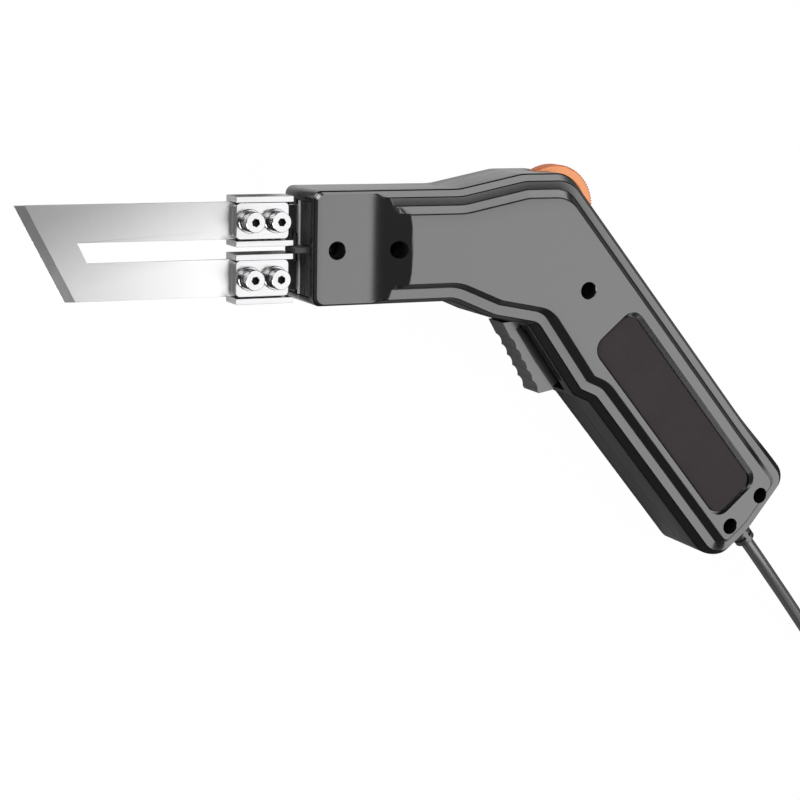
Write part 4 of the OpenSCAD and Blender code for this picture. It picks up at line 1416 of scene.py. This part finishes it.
        # Each round runs from a share of the way below its edge to a share of the way above it
        for below, here, above, start_share, end_share in (
            (ledge, inner, rim, 0.12, 0.12),
            (inner, rim, crown, 0.14, 0.1),
            (rim, crown, cap, 0.3, 0.6),
        ):
            start = self._between(here, below, start_share)
            end = self._between(here, above, end_share)
            for k in range(steps + 1):
                first = self._between(start, here, k / steps)
                second = self._between(here, end, k / steps)
                rings.append(self._between(first, second, k / steps))
        return rings + [cap]

    @staticmethod
    def _between(a: Ring, b: Ring, t: float) -> Ring:
        """Gives the values part of the way from one ring to another."""
        return tuple(p + (q - p) * t for p, q in zip(a, b))

    def _sunk(self, a: Ring, b: Ring, t: float, depth: float) -> Ring:
        """Gives a ring part of the way from one to another, moved down by a depth."""
        ring = self._between(a, b, t)
        return (*ring[:4], ring[4] - depth, ring[5] - depth)

    def solid(self, name: str) -> Piece:
        """Builds the uncut outside of one half shell over the mid plane.

        Args:
            name: name of the object.

        Returns:
            A closed solid.
        """
        points: list[Vector] = []
        rings = self.profile()
        shares = self.end_share()
        for chamfer, ledge, step, extra, height, lip in rings:
            reach = [r[0] * chamfer + r[1] * ledge + r[2] * step + extra for r in self.rims()]
            for spot, share in zip(self.outline(reach), shares):
                level = height + (lip - height) * share + self._lifted(spot.x, height)
                points.append(row_point(spot.x, spot.y, self.surface(spot.x, level)))
        size = len(shares)
        faces: Faces = [range(size)]
        faces += ring_faces(len(rings), size)
        faces += self._cap((len(rings) - 1) * size, size)
        return in_triangles(mesh_object(name, points, faces))

    def _cap(self, base: int, size: int) -> Faces:
        """Closes the panel with rungs along the nose and one flat face over the rest.

        Args:
            base: number of the last ring's first point.
            size: points in a ring.

        Returns:
            The faces.
        """
        low_first, low_last = self.edge_span(NOSE_LOW_EDGE)
        top_first, top_last = self.edge_span(NOSE_TOP_EDGE)
        faces: Faces = []
        for k in range(top_last - top_first):
            top = base + top_first + k
            low = base + low_last - k
            faces.append((top, top + 1, low - 1, low))
        faces.append(range(base + low_last, base + top_first + 1))
        faces.append([base + i for i in (*range(top_last, size), *range(low_first + 1))])
        return faces

    @staticmethod
    def screw_places() -> list[Point2]:
        """Gives the plan position of every housing screw."""
        ends = [handle_point(164.5, 0.4 + side * 10.3) for side in (1, -1)]
        return [(-98.4, 0.0), (-71.7, 0.0), handle_point(27.2, 1.2), *ends]

    def pad_outline(
        self,
        more: float,
        back: Optional[float] = None,
        end: Optional[float] = None,
    ) -> list[Point2]:
        """Gives the grip pad's outline, grown by a margin.

        Args:
            more: margin in millimetres.
            back: margin on the side of the handle's back, if it differs.
            end: margin towards the handle's end, if it differs.

        Returns:
            Points round the pad.
        """
        radius = self.pad_corner + more
        reach_l = self.pad_length / 2 + more - radius
        reach_w = self.pad_width / 2 + more - radius
        further = 0.0 if back is None else back - more
        longer = 0.0 if end is None else end - more
        points: list[Point2] = []
        for quarter, (side_l, side_w) in enumerate([(1, 1), (-1, 1), (-1, -1), (1, -1)]):
            along = self.pad_along + side_l * reach_l + (longer if side_l > 0 else 0.0)
            across = self.pad_across + side_w * reach_w + (further if side_w > 0 else 0.0)
            for k in range(self.arc_steps + 1):
                angle = math.radians(90 * quarter + 90 * k / self.arc_steps)
                out_l = radius * math.cos(angle)
                out_w = radius * math.sin(angle)
                points.append(handle_point(along + out_l, across + out_w))
        return points

    @staticmethod
    def handle_box(along: Point2, across: Point2) -> list[Point2]:
        """Gives the four corners of a rectangle on the handle's axes."""
        turns = ((0, 0), (1, 0), (1, 1), (0, 1))
        return [handle_point(along[i], across[j]) for i, j in turns]

    def openings(self) -> list[Piece]:
        """Builds the solids that both halves are cut by."""
        inner = [(p.x, p.y) for p in self.outline([self.wall] * len(self.corners()))]
        low = -self.under
        wide, tall = self.nose_mouth
        nose = [(-112.0, -wide), (-105.0, -wide), (-105.0, wide), (-112.0, wide)]
        slot = self.handle_box((17.2, 59.8), (-44.0, -13.0))
        mouth = self.handle_box((25.2, 60.0), (-45.0, -23.85))
        # The guard's axis is a little off the mid plane, so that no corner of the hole lies in it
        guard_origin = handle_row_point(150.0, CORD_ACROSS, 0.05)
        guard_way = Vector((*handle_point(1.0, 0.0), 0.0))
        guard = [(0.0, ON_AXIS), (0.0, self.guard_hole), (40.0, self.guard_hole), (40.0, ON_AXIS)]
        return [
            prism("hollow", inner, low, self.hollow),
            prism("nose_mouth", nose, low, tall),
            prism("trigger_slot", slot, 1.5 * low, self.trigger_slot),
            prism("trigger_mouth", mouth, low, self.trigger_mouth),
            prism("dial_slot", circle(DIAL_PLACE, self.dial_hole, 96), low, self.dial_slot),
            lathe("guard_hole", guard, 64, guard_origin, guard_way),
            self._pad_recess(),
        ]

    def _pad_recess(self) -> Piece:
        """Builds the recess of a grip pad, with a long slope along the back of the handle."""
        foot = self.pad_outline(0.4, 0.3, 1.2)
        rings = [
            (foot, self.pad_floor),
            (foot, self.pad_top + 0.1),
            (self.pad_outline(0.7, 2.6, 1.4), self.panel + 0.02),
            (self.pad_outline(0.8, 3.0, 1.5), self.panel + 0.2),
        ]
        return in_triangles(loft("pad_recess", rings))

    def half_shell(self, half: Half) -> Piece:
        """Builds one half of the housing.

        Args:
            half: which half.

        Returns:
            The cut and smoothed shell.
        """
        name = "left_half_shell" if half is Half.LEFT else "right_half_shell"
        shell = self.solid(name)
        cutters = self.openings()
        if half is Half.LEFT:
            cutters += [self._screw_well(x, y) for x, y in self.screw_places()]
        cut_away(shell, cutters)
        if half is Half.LEFT:
            tubes = [self._screw_tube(x, y) for x, y in self.screw_places()]
            shell = joined("shell_with_tubes", [shell] + tubes)
            shell.name = name
        else:
            self._turn_over(shell)
        return shade_smooth(shell, self.shell_crease)

    def _screw_well(self, x: float, y: float) -> Piece:
        """Builds the counterbore of a screw, with a small chamfer where the surface is level."""
        depth = self.surface(x, self.panel) - self.well_floor
        tilt = abs(self.surface(x + 4.0, self.panel) - self.surface(x - 4.0, self.panel))
        radius = self.well_radius
        mouth = radius + 0.3 if tilt < 0.1 else radius
        bore = [(0.0, ON_AXIS), (0.0, radius), (depth - 0.25, radius)]
        top = [(depth + 0.15, mouth), (depth + 4.0, mouth), (depth + 4.0, ON_AXIS)]
        return lathe("screw_well", bore + top, 56, row_point(x, y, self.well_floor))

    def _screw_tube(self, x: float, y: float) -> Piece:
        """Builds the tube that a screw's head sits in, under the panel."""
        bore = self.well_radius + 0.02
        height = min(self.surface(x + side * 5.3, self.panel) for side in (-1, 1)) - 3.6
        outside = [(0.0, ON_AXIS), (0.0, self.tube_radius), (height, self.tube_radius)]
        inside = [(height, bore), (1.2, bore), (1.2, ON_AXIS)]
        return lathe("screw_tube", outside + inside, 48, row_point(x, y, self.tube_floor))

    @staticmethod
    def _turn_over(shell: Piece) -> None:
        """Mirrors a shell through the mid plane and turns its faces outwards again."""
        with edited(shell.data) as work:
            for corner in work.verts:
                corner.co.z = 2 * MID_PLANE * MM - corner.co.z
            bmesh.ops.reverse_faces(work, faces=work.faces)

    def grip_pad(self, half: Half) -> Piece:
        """Builds one soft grip pad with a rounded rim.

        Args:
            half: which side of the handle.

        Returns:
            The pad.
        """
        name = "left_grip_insert" if half is Half.LEFT else "right_grip_insert"
        # Margin and depth below the top of each ring of the rim
        rim = ((0.0, 0.5), (-0.07, 0.3), (-0.25, 0.1), (-0.5, 0.02), (-0.9, 0.0))
        rings = [(self.pad_outline(0.0), half.value * self.pad_floor)]
        rings += [(self.pad_outline(margin), half.value * (self.pad_top - down)) for margin, down in rim]
        return shade_smooth(loft(name, rings), self.pad_crease)

    @staticmethod
    def screw_pattern() -> Piece:
        """Builds one pan-head screw with a cross recess, its seat at the origin."""
        shank = [(-2.0, ON_AXIS), (-2.0, 1.5), (0.0, 1.5)]
        dome = [(0.0, 3.2), (1.2, 3.2), (1.9, 2.8), (2.3, 1.9), (2.4, ON_AXIS)]
        head = lathe("screw_pattern", shank + dome, 32)
        cutters = []
        for wide, deep in ((1.9, 0.45), (0.45, 1.9)):
            corners = [(-wide, -deep), (wide, -deep), (wide, deep), (-wide, deep)]
            cutters.append(prism("cross_cut", corners, 1.1 - MID_PLANE, 4.0 - MID_PLANE))
        return shade_smooth(cut_away(head, cutters))

    def build(self, paint: Paint, repeats: Repeats) -> None:
        """Builds and dresses the shells, the pads and the screws."""
        for half, node in ((Half.LEFT, "left_shell"), (Half.RIGHT, "right_shell")):
            shell = self.half_shell(half)
            dress(shell, paint.of(HOUSING_PLASTIC), Body.HOUSING, "housing_grey", node)
        for half, node in ((Half.LEFT, "left_grip_pad"), (Half.RIGHT, "right_grip_pad")):
            pad = self.grip_pad(half)
            dress(pad, paint.of(GRIP_RUBBER), Body.HOUSING, "grip_rubber", node)
        dark = paint.of(DARK_STEEL)
        places = [row_point(x, y, self.screw_seat) for x, y in self.screw_places()]
        # Each screw stopped at an angle of its own
        turns = [0.4 + 0.7 * k for k in range(len(places))]
        screws = repeats.set_on_points("housing_screws", self.screw_pattern(), places, turns, dark)
        dress(screws, dark, Body.HOUSING, "dark_steel", "shell_screws")


# Blade, its terminals and their clamps


@dataclass
class BladeEnd:
    """Blade, terminals, clamp plates, washers and cap screws in front of the nose, in millimetres."""

    screw_x: Point2 = (-132.55, -121.25)
    screw_y: float = 11.8
    flat_seat: float = 5.3
    flat_top: float = 6.3
    spring_top: float = 7.6
    head_tall: float = 5.0
    head_radius: float = 4.25
    socket_radius: float = 1.84
    head_sides: int = 48
    knurls: int = 36

    def places(self, height: float) -> list[Vector]:
        """Gives the four screw positions at a height over the mid plane."""
        return [row_point(x, side * self.screw_y, height) for x in self.screw_x for side in (-1.0, 1.0)]

    def cap_screw(self) -> Piece:
        """Builds one socket-head screw without its knurls, its seat at the origin."""
        tall = self.head_tall
        radius = self.head_radius
        shank = [(-14.0, ON_AXIS), (-14.0, 2.3), (-13.4, 2.5), (0.0, 2.5)]
        side = [(0.0, radius - 0.35), (0.3, radius - 0.1), (tall - 0.45, radius - 0.1)]
        top = [(tall - 0.15, radius - 0.14), (tall, radius - 0.3), (tall, self.socket_radius)]
        socket = [(tall - 2.6, self.socket_radius), (tall - 3.2, ON_AXIS)]
        return shade_smooth(self._hex_socket_head("cap_screw_pattern", shank + side + top, socket))

    def _hex_socket_head(self, name: str, profile: Sequence[Point2], socket: Sequence[Point2]) -> Piece:
        """Turns a screw's outside and closes it with a six-sided socket.

        Args:
            name: name of the mesh.
            profile: outside of the screw, up to the rim of the socket.
            socket: the rest of the profile, which is six-sided.

        Returns:
            The screw.
        """
        stops = [*profile, *socket]
        points: list[Vector] = []
        for j, (along, radius) in enumerate(stops):
            for k in range(self.head_sides):
                angle = 2 * math.pi * k / self.head_sides
                size = radius
                if j >= len(profile) - 1 and radius > ON_AXIS:
                    part = (angle % (math.pi / 3)) - math.pi / 6
                    size = radius * math.cos(math.pi / 6) / math.cos(part)
                points.append(Vector((size * math.cos(angle), size * math.sin(angle), along)) * MM)
        return mesh_object(name, points, ring_faces(len(stops), self.head_sides))

    def socket_shade_cup(self) -> Piece:
        """Builds a near-black cup inside one six-sided socket, painted shade that stands in for the shade
        in the recess.
        """
        tall = self.head_tall
        outside = [(tall - 3.0, ON_AXIS), (tall - 3.0, 1.83), (tall - 0.1, 1.83)]
        inside = [(tall - 0.1, 1.74), (tall - 2.2, 1.68), (tall - 2.4, ON_AXIS)]
        return self._hex_socket_head("socket_pattern", [], outside + inside)

    def knurl_pattern(self) -> Piece:
        """Builds one upright rib of a knurled screw head."""
        tall = self.head_tall
        points: list[Vector] = []
        for height, out in ((0.35, -0.1), (0.55, 0.12), (tall - 0.85, 0.12), (tall - 0.6, -0.1)):
            for y, x in ((-0.3, -0.15), (0.0, out), (0.3, -0.15)):
                points.append(Vector((x, y, height)) * MM)
        return mesh_object("knurl_pattern", points, strip_faces(4, 3))

    @staticmethod
    def spring_washer() -> Piece:
        """Builds one split spring washer with its ends a little apart in height."""
        steps = 44
        inner, outer, thick = 2.65, 4.4, 1.0
        points: list[Vector] = []
        for k in range(steps + 1):
            angle = math.radians(6 + 348 * k / steps)
            lift = 0.26 * k / steps
            top = lift + thick
            for radius, height in ((inner, lift), (outer, lift), (outer, top), (inner, top)):
                points.append(Vector((radius * math.cos(angle), radius * math.sin(angle), height)) * MM)
        ends: Faces = [range(4), range(4 * steps, 4 * steps + 4)]
        return shade_smooth(mesh_object("spring_pattern", points, ends + ring_faces(steps + 1, 4)))

    @staticmethod
    def flat_washer() -> Piece:
        """Builds one flat washer with eased edges."""
        profile = [(0.0, 2.7), (0.0, 4.85), (0.15, 5.0), (0.8, 5.0), (1.0, 4.8), (1.0, 2.7)]
        return shade_smooth(lathe("washer_pattern", profile, 48))

    def build(self, paint: Paint, repeats: Repeats) -> None:
        """Builds and dresses everything in front of the nose."""
        bright = paint.of(PLATED_STEEL)
        black = paint.of(SOCKET_SHADE)
        head = self.cap_screw()
        around = self.head_radius - 0.12
        knurls = repeats.set_round_circle(
            "head_knurls", self.knurl_pattern(), self.knurls, around, ORIGIN, bright
        )
        screw = shade_smooth(joined("knurled_screw", [head, knurls]))
        turns = (0.2, 0.75, 0.45, 1.0)
        # Painted shade: a dark cup sits in each socket in place of the shade in the recess
        cup = self.socket_shade_cup()
        spring = self.spring_washer()
        flat = self.flat_washer()
        for name, pattern, height, material, slot, nodes in (
            ("blade_clamp_screws", screw, self.spring_top, bright, "plated_steel", ["clamp_screws"]),
            ("socket_cups", cup, self.spring_top, black, "dark_steel", []),
            ("split_washers", spring, self.flat_top, bright, "plated_steel", ["spring_washers"]),
            ("plain_washers", flat, self.flat_seat, bright, "plated_steel", ["flat_washers"]),
        ):
            pieces = repeats.set_on_points(name, pattern, self.places(height), turns, material)
            dress(pieces, material, Body.HOUSING, slot, *nodes)
        for node, name, bevel in (
            ("upper_terminal", "upper_terminal_channel", 0.45),
            ("lower_terminal", "lower_terminal_channel", 0.45),
            ("upper_clamp_plate", "upper_clamp_block", 0.5),
            ("lower_clamp_plate", "lower_clamp_block", 0.5),
        ):
            dress(copied_node(node, name, bevel, 3), bright, Body.HOUSING, "plated_steel", node)
        blade = copied_node("blade", "hot_blade", 0.12, 2, 20.0, crease=4.0)
        dress(blade, paint.of(BLADE_STEEL), Body.HOUSING, "blade_steel", "blade")
        for node, name in (
            ("left_nose_plate", "left_slotted_plate"),
            ("right_nose_plate", "right_slotted_plate"),
            ("terminal_divider", "divider_bar"),
        ):
            piece = copied_node(node, name, 0.3)
            dress(piece, paint.of(BLACK_PLASTIC), Body.HOUSING, "black_plastic", node)
        board = copied_node("insulating_board", "terminal_board", 0.15)
        dress(board, paint.of(BOARD_LAMINATE), Body.HOUSING, "insulation", "insulating_board")


# Trigger and thumbwheel


@dataclass
class Controls:
    """Trigger and thumbwheel, in millimetres."""

    dial_radius: float = 18.5
    dial_half: float = 4.0
    teeth: int = 90
    tooth_depth: float = 0.5
    # Half thickness of the trigger inside the housing, and how far its cuts reach out
    trigger_half: float = 4.4
    trigger_clear: float = 9.0

    def dial_drum(self, rim: float, centre: Vector) -> Piece:
        """Builds the thumbwheel's disc with a hub and a dished face.

        Args:
            rim: radius under the teeth.
            centre: middle of the disc in the row frame.

        Returns:
            The disc.
        """
        hub = [(0.7, 1.6), (0.7, 3.0), (-0.6, 3.2)]
        face = [(-0.6, rim - 4.0), (0.0, rim - 3.4), (0.0, rim - 0.5), (-0.5, rim)]
        stops = hub + face
        profile = [(-self.dial_half - out, radius) for out, radius in stops]
        profile += [(self.dial_half + out, radius) for out, radius in reversed(stops)]
        return shade_smooth(lathe("thumbwheel", profile, 180, centre))

    def tooth_pattern(self) -> Piece:
        """Builds one rib of the thumbwheel's edge."""
        half = self.dial_half - 0.1
        deep = self.tooth_depth
        points: list[Vector] = []
        for height, out in ((-half, 0.0), (-half + 0.5, deep), (half - 0.5, deep), (half, 0.0)):
            for y, x in ((-0.42, -0.15), (-0.18, out), (0.18, out), (0.42, -0.15)):
                points.append(Vector((x, y, height)) * MM)
        return mesh_object("tooth_pattern", points, strip_faces(4, 4))

    def trigger_sides(self) -> list[Piece]:
        """Builds the two solids that thin the trigger where it enters the housing."""
        corners = [(23.0, -31.4), (40.0, -33.2), (64.0, -34.2), (64.0, -8.0), (23.0, -8.0)]
        outline = [handle_point(along, across) for along, across in corners]
        near, far = self.trigger_half, self.trigger_clear
        return [prism("left_side", outline, near, far), prism("right_side", outline, -far, -near)]

    def build(self, paint: Paint, repeats: Repeats) -> None:
        """Builds and dresses the thumbwheel and the trigger."""
        # Painted shade: the ribs get the darker orange that stands in for the shade between the teeth
        shaded = paint.of(DIAL_TOOTH_SHADE)
        rim = self.dial_radius - self.tooth_depth
        centre = row_point(*DIAL_PLACE, 0.0)
        ribs = repeats.set_round_circle(
            "thumbwheel_ribs", self.tooth_pattern(), self.teeth, rim, centre, shaded
        )
        dress(shade_smooth(ribs), shaded, Body.DIAL, "dial_orange", "dial")
        wheel = self.dial_drum(rim, centre)
        dress(wheel, paint.of(DIAL_ORANGE), Body.DIAL, "dial_orange", "dial")
        trigger = copied_node("trigger", "finger_trigger", 0.6, 3, 32.0, self.trigger_sides())
        dress(trigger, paint.of(TRIGGER_PLASTIC), Body.TRIGGER, "trigger_grey", "trigger")


# Works inside the housing


class InnerWorks:
    """Solids inside the housing that keep their shape and get a finish."""

    FINISHES = {
        "upper_busbar": COPPER,
        "lower_busbar": COPPER,
        "busbar_bolts": DARK_STEEL,
        "busbar_nuts": DARK_STEEL,
        "transformer_core": CORE_STEEL,
        "transformer_bobbin": BOBBIN_PLASTIC,
        "primary_winding": WINDING_WIRE,
        "secondary_strap": COPPER,
        "control_board": CARD_GREEN,
        "triac": BLACK_PLASTIC,
        "heat_sink": SINK_ALUMINIUM,
        "capacitor": CAPACITOR_RED,
        "potentiometer": COMPONENT_BLUE,
        "dial_shaft": PLATED_STEEL,
        "trigger_pin": PLATED_STEEL,
        "switch_body": BLACK_PLASTIC,
        "switch_plunger": BOBBIN_PLASTIC,
        "cord_clamp": BLACK_PLASTIC,
        "cord_clamp_screws": DARK_STEEL,
    }

    def build(self, paint: Paint) -> None:
        """Dresses the solids that stay."""
        for node, finish in self.FINISHES.items():
            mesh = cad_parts[node].data
            mesh.materials.clear()
            mesh.materials.append(paint.of(finish))
            log.info("solid %s has finish %s", node, finish.name)


def main() -> None:
    """Builds the camera, the cord and every sub-assembly in order."""
    logging.basicConfig(level=logging.INFO, format="%(name)s: %(message)s")
    paint = Paint()
    repeats = Repeats()
    Studio().build()
    MainsCord().build(paint)
    Housing().build(paint, repeats)
    BladeEnd().build(paint, repeats)
    Controls().build(paint, repeats)
    InnerWorks().build(paint)


if __name__ == "__main__":
    main()
